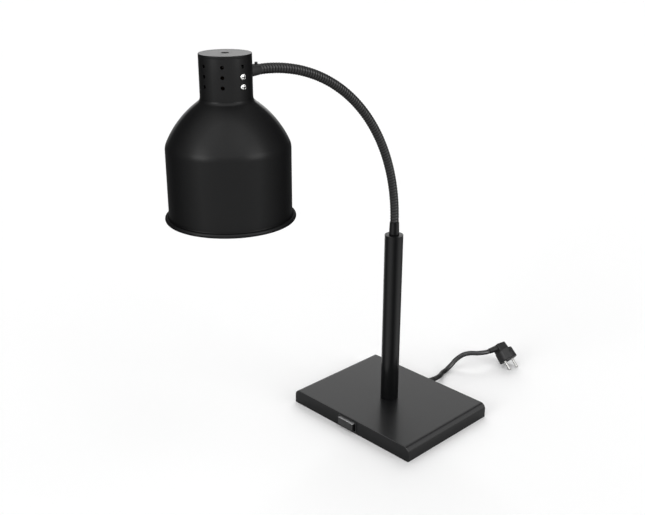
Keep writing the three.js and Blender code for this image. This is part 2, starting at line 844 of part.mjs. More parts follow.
// The places where the dome's arc, the shoulder's fillet and the flare begin and end.
function shadeShape() {
  const dome = domeArc(ledgeRadius, ledgeHeight, shoulderRadius, shoulderHeight, domeBulge);
  // The fillet touches the drum line and the dome arc from inside.
  const filletX = shoulderRadius - shoulderFillet;
  const reach = dome.radius - shoulderFillet;
  const filletZ = dome.cz + Math.sqrt(reach * reach - (filletX - dome.cx) ** 2);
  const touch = Math.atan2(filletZ - dome.cz, filletX - dome.cx);
  const beadX = rimRadius - rimBead;
  const beadZ = rimHeight + rimBead;
  const flareTop = beadZ + rimBead + rimFlare;
  const flareMiddle = [shoulderRadius + (beadX - shoulderRadius) * 0.3, beadZ + rimBead + rimFlare * 0.4];
  return { dome, filletX, filletZ, touch, beadX, beadZ, flareTop, flareMiddle };
}

function shadeOutside(s) {
  return [
    ...arcPoints(s.dome.cx, s.dome.cz, s.dome.radius, s.dome.from, s.touch, 5),
    ...arcPoints(s.filletX, s.filletZ, shoulderFillet, s.touch, 0, 3).slice(1),
    [shoulderRadius, s.flareTop],
    s.flareMiddle,
    ...arcPoints(s.beadX, s.beadZ, rimBead, Math.PI / 2, -Math.PI / 2, 4),
  ];
}

// The inside follows the outside at the wall's thickness.
function shadeInside(s) {
  return [
    [s.beadX - rimBead, s.beadZ],
    [s.flareMiddle[0] - shadeWall, s.flareMiddle[1]],
    [shoulderRadius - shadeWall, s.flareTop],
    ...arcPoints(s.filletX, s.filletZ, shoulderFillet - shadeWall, 0, s.touch, 2),
    ...arcPoints(s.dome.cx, s.dome.cz, s.dome.radius - shadeWall, s.touch, s.dome.from, 4).slice(1),
  ];
}

const collarRadius = neckRadius - neckWall - seatGap;
function makeShade() {
  const shape = shadeShape();
  const outside = shadeOutside(shape);
  const bore = collarRadius - shadeWall;
  const inside = shadeInside(shape).filter(([r]) => r > bore + 1);
  const start = [collarRadius, ledgeHeight];
  return revolve([
    start,
    ...outside,
    ...inside,
    [bore, ledgeHeight - shadeWall],
    [bore, ledgeHeight + collarHeight],
    [collarRadius, ledgeHeight + collarHeight],
    start,
  ], 44);
}
piece('shade', makeShade(), finish.blackPaint, head);

// Lamp holder, with its brass shell and spring contact
const cavityTop = holderFoot + holderCavityDepth;

function makeHolder() {
  const waist = holderRadius * 0.82;
  const body = revolve([
    [holderCavityRadius, holderFoot],
    [holderRadius - 1.5, holderFoot],
    [holderRadius, holderFoot + 2],
    [holderRadius, holderFoot + holderHeight * 0.5],
    [waist, holderFoot + holderHeight * 0.62],
    [waist, holderTop - 1],
    [waist - 1, holderTop],
    [0, holderTop],
    [0, cavityTop],
    [holderCavityRadius, cavityTop],
    [holderCavityRadius, holderFoot],
  ], 24);
  const holes = [-1, 1].map((side) => rod(holderScrewRadius + holeClearance, cavityTop + 1, holderTop + 1, 12)
    .translate((side * holderScrewSpacing) / 2, 0, 0));
  return cut(body, ...holes);
}
piece('lamp_holder', makeHolder(), finish.porcelain, head);
const shellOuter = holderCavityRadius - seatGap;
piece(
  'holder_shell',
  tube(shellOuter, shellOuter - holderShellWall, holderFoot + 4, cavityTop - seatGap, 24),
  finish.brass,
  head,
);
piece('holder_contact', revolve([
  [0, bulbTip + seatGap],
  [4, bulbTip + seatGap + 0.5],
  [8, cavityTop - seatGap - 0.8],
  [8, cavityTop - seatGap],
  [0, cavityTop - seatGap],
], 16), finish.brass, head);

// Bracket: a strip down the neck wall and over the holder's top
const bracketLow = ventHeights[ventRows - 1] - bracketWidth / 2;
const bracketFoot = holderTop + seatGap;
const stripOutside = Math.sqrt((neckRadius - neckWall - seatGap) ** 2 - (bracketWidth / 2) ** 2);
const bracketScrewHeights = ventHeights.slice(1);

function makeBracket() {
  const half = bracketWidth / 2;
  const bracketTop = bracketFoot + bracketThickness;
  const leg = box(stripOutside - bracketThickness, stripOutside, -half, half, bracketLow, bracketTop);
  const arch = box(-bracketReach, stripOutside, -half, half, bracketFoot, bracketTop);
  const holes = [-1, 1].map((side) => rod(holderScrewRadius + holeClearance, bracketFoot - 1, bracketTop + 1, 12)
    .translate((side * holderScrewSpacing) / 2, 0, 0));
  const legHoles = bracketScrewHeights.map((z) => rod(bracketScrewRadius + holeClearance, 0, neckRadius, 12)
    .rotateY(Math.PI / 2).translate(0, 0, z));
  return cut(join(leg, arch), ...holes, ...legHoles);
}
piece('holder_bracket', makeBracket(), finish.steel, head);
bracketScrewHeights.forEach((z, k) => {
  const body = screw(bracketScrewHead, bracketScrewHeadHeight, bracketScrewRadius, bracketScrewLength, 16);
  piece(`bracket_screw_${k + 1}`, body.rotateY(-Math.PI / 2), finish.nickel, head)
    .position.set(neckRadius + seatGap, 0, z);
});
[-1, 1].forEach((side, k) => {
  const body = screw(holderScrewHead, 1.8, holderScrewRadius, holderScrewLength, 12).rotateX(Math.PI);
  piece(`holder_screw_${k + 1}`, body, finish.steel, head)
    .position.set((side * holderScrewSpacing) / 2, 0, bracketFoot + bracketThickness + seatGap);
});

// Bulb: reflector shape with a domed face, glass neck open into the screw cap
const capRim = bulbTip - bulbCapLength;

function bulbOutside() {
  const neck = bulbCapRadius + 1.4;
  const flare = capRim - bulbShoulder;
  const widest = bulbFace + bulbWidest;
  const side = Array.from({ length: 6 }, (_, k) => {
    // A parabola-like flare: the radius grows with the square root of the drop.
    const t = k / 5;
    return [neck + (bulbRadius - neck) * Math.sqrt(t) ** 1.25, flare + (widest - flare) * t];
  });
  const edge = arcPoints(
    bulbRadius - bulbEdgeRadius,
    widest - bulbEdgeDrop,
    bulbEdgeRadius,
    Math.PI / 6,
    -Math.PI / 3,
    3,
  );
  const top = [[bulbCapRadius - 1, capRim - seatGap], [neck, capRim - 3]];
  return [...top, ...side, ...edge, [bulbFaceFlat, bulbFace + bulbGlassWall], [0, bulbFace]];
}

function makeBulb() {
  const outside = bulbOutside();
  const inside = outside.map(([r, z], k) => {
    if (k === 0) return [r - bulbGlassWall, z];
    const below = outside[Math.max(k - 1, 0)];
    const above = outside[Math.min(k + 1, outside.length - 1)];
    const dr = above[0] - below[0];
    const dz = above[1] - below[1];
    const length = Math.hypot(dr, dz);
    return [Math.max(r + (dz / length) * bulbGlassWall, 0), z - (dr / length) * bulbGlassWall];
  });
  inside[inside.length - 1] = [0, bulbFace + bulbGlassWall];
  return revolve([...outside, ...inside.reverse(), outside[0]], 28);
}
piece('bulb_glass', makeBulb(), finish.rubyGlass, head);
piece('bulb_cap', revolve([
  [0, capRim],
  [bulbCapRadius + 0.6, capRim],
  [bulbCapRadius, capRim + 2],
  [bulbCapRadius, bulbTip - 5],
  [bulbCapRadius - 4, bulbTip - 2],
  [4.8, bulbTip - 1.2],
  [4.2, bulbTip],
  [0, bulbTip],
], 20), finish.brass, head);
const filamentDrop = 70;
piece('bulb_filament', revolve([
  [0, capRim - seatGap],
  [3.5, capRim - seatGap],
  [2.2, capRim - 30],
  [1.2, capRim - filamentDrop + 4],
  [9, capRim - filamentDrop + 2],
  [9, capRim - filamentDrop],
  [0, capRim - filamentDrop],
], 12), finish.steel, head);

// Rocker switch
// The housing clips into the front wall; the rocker turns on two pins about a vertical axis.
const rockerAxisY = -baseDepth / 2;

function makeHousing() {
  const outerX = housingOuterX;
  const outerZ = housingOuterZ;
  const front = rockerAxisY - bezelProud;
  const back = rockerAxisY + housingDepth;
  const bezel = box(
    -outerX - bezelRim,
    outerX + bezelRim,
    front,
    rockerAxisY - seatGap,
    -outerZ - bezelRim,
    outerZ + bezelRim,
  );
  const body = box(-outerX, outerX, front, back, -outerZ, outerZ);
  const hollow = box(
    -outerX + housingWall,
    outerX - housingWall,
    front - 1,
    rockerAxisY + rockerDepth + 7,
    -outerZ + housingWall,
    outerZ - housingWall,
  );
  const pinHole = rod(rockerPinRadius + holeClearance, -outerZ - 1, outerZ + 1, 12)
    .translate(0, rockerAxisY + rockerPinPlace, 0);
  const slots = [-1, 1].map((side) => box(
    (side * tabSpacing) / 2 - tabThickness / 2 - seatGap,
    (side * tabSpacing) / 2 + tabThickness / 2 + seatGap,
    back - 3,
    back + 1,
    -tabWidth / 2 - seatGap,
    tabWidth / 2 + seatGap,
  ));
  return cut(join(bezel, body), hollow, pinHole, ...slots);
}
piece('switch_housing', makeHousing(), finish.blackPlastic).position.set(switchPlaceX, 0, switchPlaceZ);

function makeRocker() {
  const half = rockerLength / 2;
  const s = new THREE.Shape();
  s.moveTo(-half, rockerProud);
  s.lineTo(0, rockerProud - rockerDip);
  s.lineTo(half, rockerProud);
  s.lineTo(half - 1.2, -rockerDepth * 0.5);
  s.lineTo(half * 0.5, -rockerDepth);
  s.lineTo(-half * 0.5, -rockerDepth);
  s.lineTo(-half + 1.2, -rockerDepth * 0.5);
  const body = prism(s, -rockerHeight / 2, rockerHeight / 2).scale(1, -1, 1);
  const pin = rod(rockerPinRadius, -housingOuterZ, housingOuterZ, 12).translate(0, rockerPinPlace, 0);
  return join(body, pin)
    .translate(0, -rockerPinPlace, 0)
    .rotateZ(-rockerTilt * degrees)
    .translate(0, rockerPinPlace, 0);
}
piece('switch_rocker', makeRocker(), finish.blackPlastic).position.set(switchPlaceX, rockerAxisY, switchPlaceZ);

const tabFront = rockerAxisY + housingDepth - 3 + seatGap;
[-1, 1].forEach((side, k) => {
  piece(`switch_tab_${k + 1}`, box(
    -tabThickness / 2,
    tabThickness / 2,
    tabFront,
    tabFront + tabLength,
    -tabWidth / 2,
    tabWidth / 2,
  ), finish.brass).position.set(switchPlaceX + (side * tabSpacing) / 2, 0, switchPlaceZ);
});

// Terminal block and the leads inside
const blockBack = baseDepth / 2 - terminalBackInset;
const blockFront = blockBack - terminalDepth;
const blockLow = plateTop + seatGap;

function makeTerminalBlock() {
  const half = terminalLength / 2;
  const body = box(-half, half, blockFront, blockBack, blockLow, blockLow + terminalHeight);
  const poles = [-1, 0, 1].map((k) => rod(2, blockFront - 1, blockBack + 1, 10)
    .rotateX(-Math.PI / 2).translate((k * terminalLength) / 3, 0, blockLow + terminalHeight * terminalHoleShare));
  const valleys = [-0.5, 0.5].map((k) => box(
    (k * terminalLength) / 3 - 0.8,
    (k * terminalLength) / 3 + 0.8,
    blockFront - 1,
    blockBack + 1,
    blockLow + terminalHeight * 0.7,
    blockLow + terminalHeight + 1,
  ));
  return cut(body, ...poles, ...valleys);
}
piece('terminal_block', makeTerminalBlock(), finish.porcelain);

// Cord gland: a flange inside and outside the back wall and a tapered sleeve.
piece('cord_gland', revolve([
  [cordRadius + seatGap, -coverWall - seatGap - glandFlange],
  [glandFlangeRadius - 1, -coverWall - seatGap - glandFlange],
  [glandFlangeRadius - 1, -coverWall - seatGap],
  [glandHole, -coverWall - seatGap],
  [glandHole, seatGap],
  [glandFlangeRadius, seatGap],
  [glandFlangeRadius, seatGap + glandFlange],
  [glandRootRadius, seatGap + glandFlange + 1],
  [glandTipRadius, glandLength],
  [cordRadius + seatGap, glandLength],
  [cordRadius + seatGap, -coverWall - seatGap - glandFlange],
], 20).rotateX(-Math.PI / 2), finish.rubber).position.set(0, baseDepth / 2, cordExitZ);

const terminalHoleZ = blockLow + terminalHeight * terminalHoleShare;
piece('cord_tail', lead([
  [0, blockBack + seatGap + 1, cordExitZ],
  [0, baseDepth / 2 + glandLength / 2, cordExitZ],
  [0, baseDepth / 2 + glandLength, cordExitZ],
], cordRadius, 3, 10), finish.rubber);

// The riser lead lies in the ballast's slot and turns up through the nipple into the pole.
const slotFloor = plateTop + leadRadius + 1;
piece('riser_lead', lead([
  [0, blockFront - seatGap, terminalHoleZ],
  [0, blockFront - ballastNotch, slotFloor],
  [0, 2 * nippleRadius, slotFloor],
  [0, 0.7 * nippleRadius, slotFloor + 1],
  [0, 0.1 * nippleRadius, slotFloor + 5],
  [0, 0, nippleLow + nippleRadius],
  [0, 0, topSheet + nippleAbove],
  [0, 0, hoseStart - seatGap],
], leadRadius, 36, 6), finish.lead);

// The switch wires rise in the front notch, lie on the ballast on either side of the nut,
// and drop to the outer terminals in the back notch.
const wireLevel = ballastTop + wireRise + wireRadius;
const wireSide = washerRadius + wireClear;
[-1, 1].forEach((side, k) => {
  const tabX = switchPlaceX + (side * tabSpacing) / 2;
  const tabBack = tabFront + tabLength;
  const holeX = (side * terminalLength) / 3;
  piece(`switch_wire_${k + 1}`, lead([
    [tabX, tabBack + seatGap, switchPlaceZ],
    [tabX, tabBack + ballastNotch * 0.18, switchPlaceZ],
    [tabX, tabBack + ballastNotch * 0.47, (switchPlaceZ + wireLevel) / 2],
    [tabX, tabBack + ballastNotch * 0.82, wireLevel],
    [side * wireSide, -wireSide, wireLevel],
    [side * wireSide, wireSide, wireLevel],
    [holeX, blockFront - ballastNotch * 1.3, wireLevel],
    [holeX, blockFront - ballastNotch * 0.85, wireLevel],
    [holeX, blockFront - ballastNotch * 0.42, terminalHoleZ + 0.39 * (wireLevel - terminalHoleZ)],
    [holeX, blockFront - ballastNotch * 0.18, terminalHoleZ],
    [holeX, blockFront - seatGap, terminalHoleZ],
  ], wireRadius, 24, 6), finish.lead);
});

// The head's lead: out of the stud, up past the holder and down to its terminal
const leadEntry = holderRadius * 0.55;
const leadTop = bracketFoot + bracketThickness + 3 * leadRadius;
piece('head_lead', lead([
  [0, studEnd + armStudLength / 2, armHeight],
  [0, studEnd - leadRadius / 4, armHeight],
  [0, studEnd - leadRadius, armHeight + 2 * leadRadius],
  [0, studEnd - 1.25 * leadRadius, holderTop + leadRadius / 2],
  [0, leadEntry + 3 * leadRadius, leadTop],
  [0, leadEntry + leadRadius / 2, leadTop - leadRadius / 2],
  [0, leadEntry, holderTop + seatGap],
], leadRadius * 0.8, 18, 6), finish.lead, head);

// Plug
// Local X is the way the pins point, Y runs from pin to pin; it leans on its pin tips and rim.
const plugTilt = Math.atan2(plugFaceRadius - pinRadius + pinChamfer, pinLength);
plug.position.set(plugPlace[0], plugPlace[1], plugFaceRadius * Math.cos(plugTilt) + 0.1);
plug.rotation.set(0, plugTilt, plugTurn * degrees, 'ZYX');
const hoodBack = -plugFaceDepth - plugHoodDepth;
const reliefX = hoodBack + plugReliefBack;
const reliefTipY = -plugHoodCordSide - plugReliefLength;

// The hood seen along Z: square at the cord's side, sloped and rounded at the far side.
function hoodOutline() {
  const corner = plugHoodFarSide * 0.6;
  const s = new THREE.Shape();
  s.moveTo(-plugFaceDepth + 6, -plugHoodCordSide);
  s.lineTo(-plugFaceDepth + 6, plugHoodFarSide);
  s.lineTo(-plugFaceDepth, plugHoodFarSide);
  s.lineTo(hoodBack + corner + 2, plugHoodFarSide - 2);
  s.quadraticCurveTo(hoodBack + 2, plugHoodFarSide - 2.5, hoodBack + 1.5, plugHoodFarSide - 2.5 - corner);
  s.lineTo(hoodBack, -plugHoodCordSide + 2);
  s.lineTo(hoodBack + 1, -plugHoodCordSide);
  return s;
}

function makePlug() {
  const face = revolve([
    [0, -plugFaceDepth],
    [plugFaceRadius - plugTaper, -plugFaceDepth],
    [plugFaceRadius, 0],
    [0, 0],
  ], 32).rotateY(Math.PI / 2);
  const hood = prism(hoodOutline(), -plugHoodHeight / 2, plugHoodHeight / 2, 4);
  const relief = revolve([
    [0, -3],
    [plugReliefRoot, -3],
    [plugReliefRoot, 0],
    [plugReliefTip, plugReliefLength],
    [0, plugReliefLength],
  ], 20).rotateX(Math.PI / 2).translate(reliefX, -plugHoodCordSide, 0);
  const pins = [-1, 1].map((side) => rod(pinRadius + seatGap, -pinHoleDepth, 1, 16)
    .rotateY(Math.PI / 2).translate(0, (side * pinPitch) / 2, 0));
  const grooves = [-1, 1].map((side) => box(
    -pinHoleDepth,
    1,
    -clipWidth / 2 - seatGap,
    clipWidth / 2 + seatGap,
    side > 0 ? plugFaceRadius - clipThickness - 1.8 : -plugFaceRadius - 1,
    side > 0 ? plugFaceRadius + 1 : -plugFaceRadius + clipThickness + 1.8,
  ));
  return cut(join(face, hood, relief), ...pins, ...grooves);
}
piece('plug_body', makePlug(), finish.rubber, plug);
[-1, 1].forEach((side, k) => {
  const y = (side * pinPitch) / 2;
  const pin = revolve([
    [0, -pinInPlug],
    [pinRadius, -pinInPlug],
    [pinRadius, pinLength - pinChamfer],
    [pinRadius - pinChamfer, pinLength],
    [0, pinLength],
  ], 16).rotateY(Math.PI / 2);
  piece(`plug_pin_${k + 1}`, pin, finish.nickel, plug).position.y = y;
  const low = side * (plugFaceRadius - 1.2) - clipThickness / 2;
  const strip = box(-pinInPlug, -2 * seatGap, -clipWidth / 2, clipWidth / 2, low, low + clipThickness);
  piece(`earth_clip_${k + 1}`, strip, finish.nickel, plug);
});

// The power cord ends square to the plug's tapered sleeve.
plug.updateMatrix();
const plugEnd = [6, seatGap].map((out) => new THREE.Vector3(reliefX, reliefTipY - out, 0)
  .applyMatrix4(plug.matrix).toArray());
const cordStart = [0, baseDepth / 2 + glandLength + seatGap, cordExitZ];
piece('power_cord', lead([cordStart, ...cordRoute, ...plugEnd], cordRadius, 26, 10), finish.rubber);

export default lamp;
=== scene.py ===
"""Flexible food heat lamp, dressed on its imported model.

Lengths are in millimetres until new_object() makes a mesh of them in metres.  X runs along the
base's long side, -Y is the side of the shade and the switch, and +Z is up.
"""

import json
from math import atan2, cos, hypot, inf, pi, radians, sin, sqrt

import bmesh
import bpy
import numpy as np
from mathutils import Matrix, Vector


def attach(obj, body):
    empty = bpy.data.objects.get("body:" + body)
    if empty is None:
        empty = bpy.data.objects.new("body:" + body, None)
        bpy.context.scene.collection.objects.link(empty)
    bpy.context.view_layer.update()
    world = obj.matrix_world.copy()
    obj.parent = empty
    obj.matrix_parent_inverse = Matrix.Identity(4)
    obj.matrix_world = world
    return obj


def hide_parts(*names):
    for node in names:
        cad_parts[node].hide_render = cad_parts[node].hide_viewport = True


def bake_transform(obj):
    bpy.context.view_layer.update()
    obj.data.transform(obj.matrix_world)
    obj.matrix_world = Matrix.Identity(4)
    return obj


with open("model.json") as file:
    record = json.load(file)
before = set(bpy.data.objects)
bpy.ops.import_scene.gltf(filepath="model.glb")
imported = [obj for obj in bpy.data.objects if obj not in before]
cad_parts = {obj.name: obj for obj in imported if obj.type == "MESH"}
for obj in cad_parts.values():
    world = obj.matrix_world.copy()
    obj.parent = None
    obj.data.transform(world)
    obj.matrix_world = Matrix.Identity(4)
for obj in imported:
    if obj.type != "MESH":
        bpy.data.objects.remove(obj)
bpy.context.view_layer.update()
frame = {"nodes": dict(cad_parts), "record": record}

MM = 0.001
# Camera, in metres
CAMERA_PLACE = (0.8939, -0.8623, 0.7967)
CAMERA_RIGHT, CAMERA_AHEAD = (0.6934, 0.7206, 0), (-0.673, 0.6476, -0.3576)
LENS, SENSOR = 50, 36
# Base
POLE_Y = 156.6
BASE_LENGTH, BASE_DEPTH, TOP_SHEET = 260, 198, 24.6
EDGE_RADIUS, SIDE_EDGE, COVER_WALL, SKIRT_LIFT = 10, 0.8, 1.5, 0.1
FOOT_HEIGHT, FOOT_RADIUS, FOOT_X, FOOT_Y = 3, 9, 108, 79
SCREW_X, SCREW_ROWS, SCREW_RADIUS = 90, (101.6, 215.6), 3.8
FRONT, BACK = POLE_Y - BASE_DEPTH / 2, POLE_Y + BASE_DEPTH / 2
# Pole and ferrules
POLE_RADIUS, POLE_FOOT, POLE_TOP = 15, 24.9, 319
FERRULE_FOOT, FERRULE_TIP = 319.3, 340.3
# Arm
HOSE_RADIUS, GROOVE_RADIUS, HOSE_BORE, RIB_PITCH = 7, 6.1, 4.9, 4.85
HOSE_START, BEND_START, BEND = 325.8, 340, 271
HOSE_IN_FERRULE, PLAIN_END, BLEND_REACH = 14.5, 10.5, 31
RISE, QUARTER = BEND_START - HOSE_START, BEND * pi / 2
ARM_HEIGHT = BEND_START + BEND
# Head
HEAD_Y = POLE_Y - 326.2
NECK_RADIUS, NECK_WALL, NECK_FOOT, NECK_TOP, CAP_TOP, CAP_HOLE = 33.5, 1.8, 578.8, 633.8, 637.3, 5
LEDGE, SHOULDER, RIM = 578.5, 521.5, 422.8
LEDGE_RADIUS, SHOULDER_RADIUS, RIM_RADIUS = 35, 80.9, 86
DOME_BULGE, SHOULDER_FILLET, BEAD, FLARE, SHADE_WALL = 5.3, 24, 3.0, 2.2, 1.2
VENT_RADIUS, VENT_TOP, VENT_PITCH, STUD_HOLE = 2.5, CAP_TOP - 13.3, 12.5, 5.35
DOME_RADIUS, DOME_RISE = 3.9, 2.8
BULB_TIP, BULB_FACE, BULB_NECK, BULB_RADIUS, BULB_WALL = 608.8, 435.8, 14.5, 62.5, 1.2
# Switch
SWITCH_X, SWITCH_Z = -2.7, 11.9
ROCKER_HALF, ROCKER_HALF_HEIGHT, ROCKER_EASE, ROCKER_TILT = 17, 6.7, 0.3, radians(-4.5)
OPENING_HALF, OPENING_HALF_HEIGHT = 18.3, 7.7
HOLE_HALF, HOLE_HALF_HEIGHT = 19.65, 8.15
# Cord and plug
CORD_RADIUS, CORD_HOLE, GLAND_LENGTH = 4.3, 6.35, 21
CORD_EXIT_Y, CORD_EXIT_Z = BACK + GLAND_LENGTH + 0.3, 12
PLUG_RADIUS, PLUG_DEPTH = 17.75, 19.5
PIN_RADIUS, PIN_TIP, PIN_LENGTH, PIN_PITCH = 2.4, 1.65, 19, 19
PLUG_X, PLUG_Y, PLUG_TURN = 51, 278.5 + POLE_Y, radians(-7.8)
PLUG_TILT = atan2(PLUG_RADIUS - PIN_RADIUS + 1, PIN_LENGTH)
HOOD_BACK = -PLUG_DEPTH - 14.8
SLEEVE_X, SLEEVE_ROOT_Y, SLEEVE_TIP_Y = HOOD_BACK + 6, -14, -31
CORD_ROUTE = [
    [0, 126.3, 12], [-2.2, 138, 10.2], [-7.9, 150.4, 6.6], [-13, 161.8, 4.9], [-15.2, 175.8, 4.9],
    [-15.3, 189.9, 9.7], [-12.9, 200.8, 17.9], [-4.8, 210.9, 27.3], [5, 218, 31.8],
    [16.6, 228.2, 32.5],
]


def placed(name, data):
    """A new object in the scene, of a mesh, a camera or a lamp."""
    obj = bpy.data.objects.new(name, data)
    bpy.context.scene.collection.objects.link(obj)
    return obj


def make_camera():
    data = bpy.data.cameras.new("camera")
    data.lens, data.sensor_width = LENS, SENSOR
    camera = placed("camera", data)
    right, ahead = Vector(CAMERA_RIGHT).normalized(), Vector(CAMERA_AHEAD).normalized()
    turn = Matrix((right, right.cross(ahead), -ahead)).transposed().to_4x4()
    camera.matrix_world = Matrix.Translation(CAMERA_PLACE) @ turn
    bpy.context.scene.camera = camera


make_camera()


# Shapes

join = np.concatenate
AXES = {"up": np.eye(3), "back": np.eye(3)[[0, 2, 1]], "right": np.eye(3)[[1, 2, 0]]}


def curve(a, corner, b, steps):
    """A parabola from a to b: (1-t)^2 a + 2 t (1-t) corner + t^2 b."""
    t = np.linspace(0, 1, steps + 1)[:, None]
    return (1 - t) ** 2 * a + 2 * t * (1 - t) * corner + t ** 2 * b


def eased(corners, closed=False, steps=4):
    """A polyline of (x, y) or (x, y, ease) corners.  A corner with an ease becomes a parabola
    that starts and ends that far from it."""
    parts = []
    count = len(corners)
    for k, corner in enumerate(corners):
        here = np.array(corner[:2], float)
        if len(corner) < 3 or (not closed and k in (0, count - 1)):
            parts.append(here[None])
            continue
        before = np.array(corners[k - 1][:2]) - here
        after = np.array(corners[(k + 1) % count][:2]) - here
        a = here + before * min(corner[2] / np.linalg.norm(before), 0.49)
        b = here + after * min(corner[2] / np.linalg.norm(after), 0.49)
        parts.append(curve(a, here, b, steps))
    return join(parts)


def arc(cx, cy, radius, start, end, steps):
    """Points on a circle: centre + radius (cos a, sin a), a from start to end."""
    a = np.linspace(start, end, steps + 1)
    return np.stack([cx + radius * np.cos(a), cy + radius * np.sin(a)], 1)


def quarter(size):
    """How far a quarter circle draws in, and how far along, at the ends of its four steps."""
    a = np.linspace(0, pi / 2, 5)
    return zip(size * (1 - np.sin(a)), size * (1 - np.cos(a)))


def around(sides):
    """The angles of a full turn in equal steps."""
    return np.linspace(0, 2 * pi, sides, endpoint=False)


def unit(rows):
    return rows / np.linalg.norm(rows, axis=1)[:, None]


def grid(points, close_rows=False, close_columns=True):
    """Four-sided faces between neighbouring points of a (rows, columns, 3) array."""
    rows, columns = points.shape[:2]
    index = np.arange(rows * columns).reshape(rows, columns)
    if close_rows:
        index = join([index, index[:1]])
    if close_columns:
        index = join([index, index[:, :1]], 1)
    faces = np.stack([index[:-1, :-1], index[:-1, 1:], index[1:, 1:], index[1:, :-1]], -1)
    return points.reshape(-1, 3), faces.reshape(-1, 4)


def lathe(profile, origin=(0, 0, 0), along="up", sides=64):
    """A profile of (radius, height) turned about an axis through origin:
    origin + radius (cos a u + sin a v) + height w.  A profile that starts or ends off the axis
    closes on itself."""
    u, v, w = AXES[along]
    a = around(sides)[:, None]
    spoke = np.cos(a) * u + np.sin(a) * v
    r, h = np.asarray(profile, float).T
    points = np.array(origin) + r[:, None, None] * spoke + h[:, None, None] * w
    return grid(points, close_rows=r[0] > 1e-6 or r[-1] > 1e-6)


def cylinder(radius, low, high, origin=(0, 0, 0), along="up", sides=32):
    """A closed cylinder between two heights."""
    return lathe([(0, low), (radius, low), (radius, high), (0, high)], origin, along, sides)


def tube_along(line, radius, sides):
    """A round tube: each ring is point + radius (cos a n + sin a b), with n level and b square
    to n and to the line.  Both ends close on their middles."""
    ahead = unit(np.gradient(line, axis=0))
    n = unit(np.cross(ahead, (0, 0, 1)))
    b = np.cross(ahead, n)
    a = around(sides)[None, :, None]
    rings = line[:, None] + radius * (np.cos(a) * n[:, None] + np.sin(a) * b[:, None])
    ends = np.zeros((1, sides, 3))
    return grid(join([ends + line[0], rings, ends + line[-1]]))


def stacked(outline, rows, middle=None):
    """A closed outline at each (keep, z) of rows: middle + keep (outline - middle), height z."""
    outline = np.asarray(outline, float)
    middle = outline.mean(0) if middle is None else middle
    return np.stack([np.c_[middle + (outline - middle) * keep, np.full(len(outline), z)]
                     for keep, z in rows])


def box_shape(low, high):
    """A box between two corners."""
    (x0, y0, z0), (x1, y1, z1) = low, high
    ring = [(x0, y0), (x1, y0), (x1, y1), (x0, y1)]
    return grid(stacked(ring, [(0, z0), (1, z0), (1, z1), (0, z1)]))


def rounded_ring(half_x, half_z, corner):
    """A rectangle with round corners about the origin, as points (x, z)."""
    return join([
        arc(sx * (half_x - corner), sz * (half_z - corner), corner, radians(a), radians(a + 90), 6)
        for sx, sz, a in [(1, 1, 0), (-1, 1, 90), (-1, -1, 180), (1, -1, 270)]
    ])


def rings_cut(steps, depth, first, last):
    """Depth of four and a half shallow rings along a sleeve, between two of its steps."""
    wave = np.clip(np.sin(2 * pi * steps * 4.5) * 2.5, 0, 1)
    return depth * wave * (steps > first) * (steps < last)


def outward(points, faces):
    """Turns all faces round if the volume they enclose, a sum of a . (b x c) / 6, is negative."""
    a, b, c, d = points[faces].transpose(1, 0, 2)
    total = np.einsum("ij,ij->", a, np.cross(b, c) + np.cross(c, d))
    return faces if total >= 0 else faces[:, ::-1]


def new_object(name, points, faces):
    """An object in metres of points in millimetres and four-sided faces."""
    mesh = bpy.data.meshes.new(name)
    mesh.vertices.add(len(points))
    mesh.vertices.foreach_set("co", (points * MM).astype(np.float32).ravel())
    mesh.loops.add(faces.size)
    mesh.loops.foreach_set("vertex_index", faces.astype(np.int32).ravel())
    mesh.polygons.add(len(faces))
    mesh.polygons.foreach_set("loop_start", np.arange(0, faces.size, 4, dtype=np.int32))
    mesh.update(calc_edges=True)
    work = bmesh.new()
    work.from_mesh(mesh)
    bmesh.ops.remove_doubles(work, verts=work.verts, dist=2e-7)
    work.to_mesh(mesh)
    work.free()
    mesh.validate()
    return placed(name, mesh)


def several(shapes):
    """Puts separate closed shapes into one array of points and one of faces."""
    points, faces, start = [], [], 0
    for p, f in shapes:
        points.append(p)
        faces.append(outward(p, f) + start)
        start += len(p)
    return join(points), join(faces)


def modify(obj, kind, **settings):
    """Adds a modifier with these settings."""
    step = obj.modifiers.new(kind.lower(), kind)
    for label, value in settings.items():
        setattr(step, label, value)


def baked(obj):
    """Replaces the mesh by the one that its modifiers give."""
    graph = bpy.context.evaluated_depsgraph_get()
    mesh = bpy.data.meshes.new_from_object(obj.evaluated_get(graph))
    old = obj.data
    obj.modifiers.clear()
    obj.data = mesh
    bpy.data.meshes.remove(old)
    mesh.name = obj.name


def cut_away(obj, cutters):
    """Takes each closed cutter shape out of the piece."""
    tool = new_object("cutter", *several(cutters))
    modify(obj, "BOOLEAN", operation="DIFFERENCE", solver="EXACT", object=tool)
    baked(obj)
    bpy.data.objects.remove(tool)


def dress(obj, material, body, solid, slot, sharp=38, inner=None):
    """Gives a piece its shading and material, puts it under its body and hides its solid; slot is
    not used.  inner is (material, test) for the faces whose middles and normals pass the test."""
    mesh = obj.data
    mesh.shade_smooth()
    mesh.set_sharp_from_angle(angle=radians(sharp))
    mesh.materials.clear()
    mesh.materials.append(material)
    if inner:
        other, test = inner
        mesh.materials.append(other)
        middle, facing = np.empty((2, len(mesh.polygons) * 3))
        mesh.polygons.foreach_get("center", middle)
        mesh.polygons.foreach_get("normal", facing)
        inside = test(middle.reshape(-1, 3) / MM, facing.reshape(-1, 3))
        mesh.polygons.foreach_set("material_index", inside.astype(np.int32))
    if body:
        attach(obj, body)
    if solid:
        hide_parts(solid)


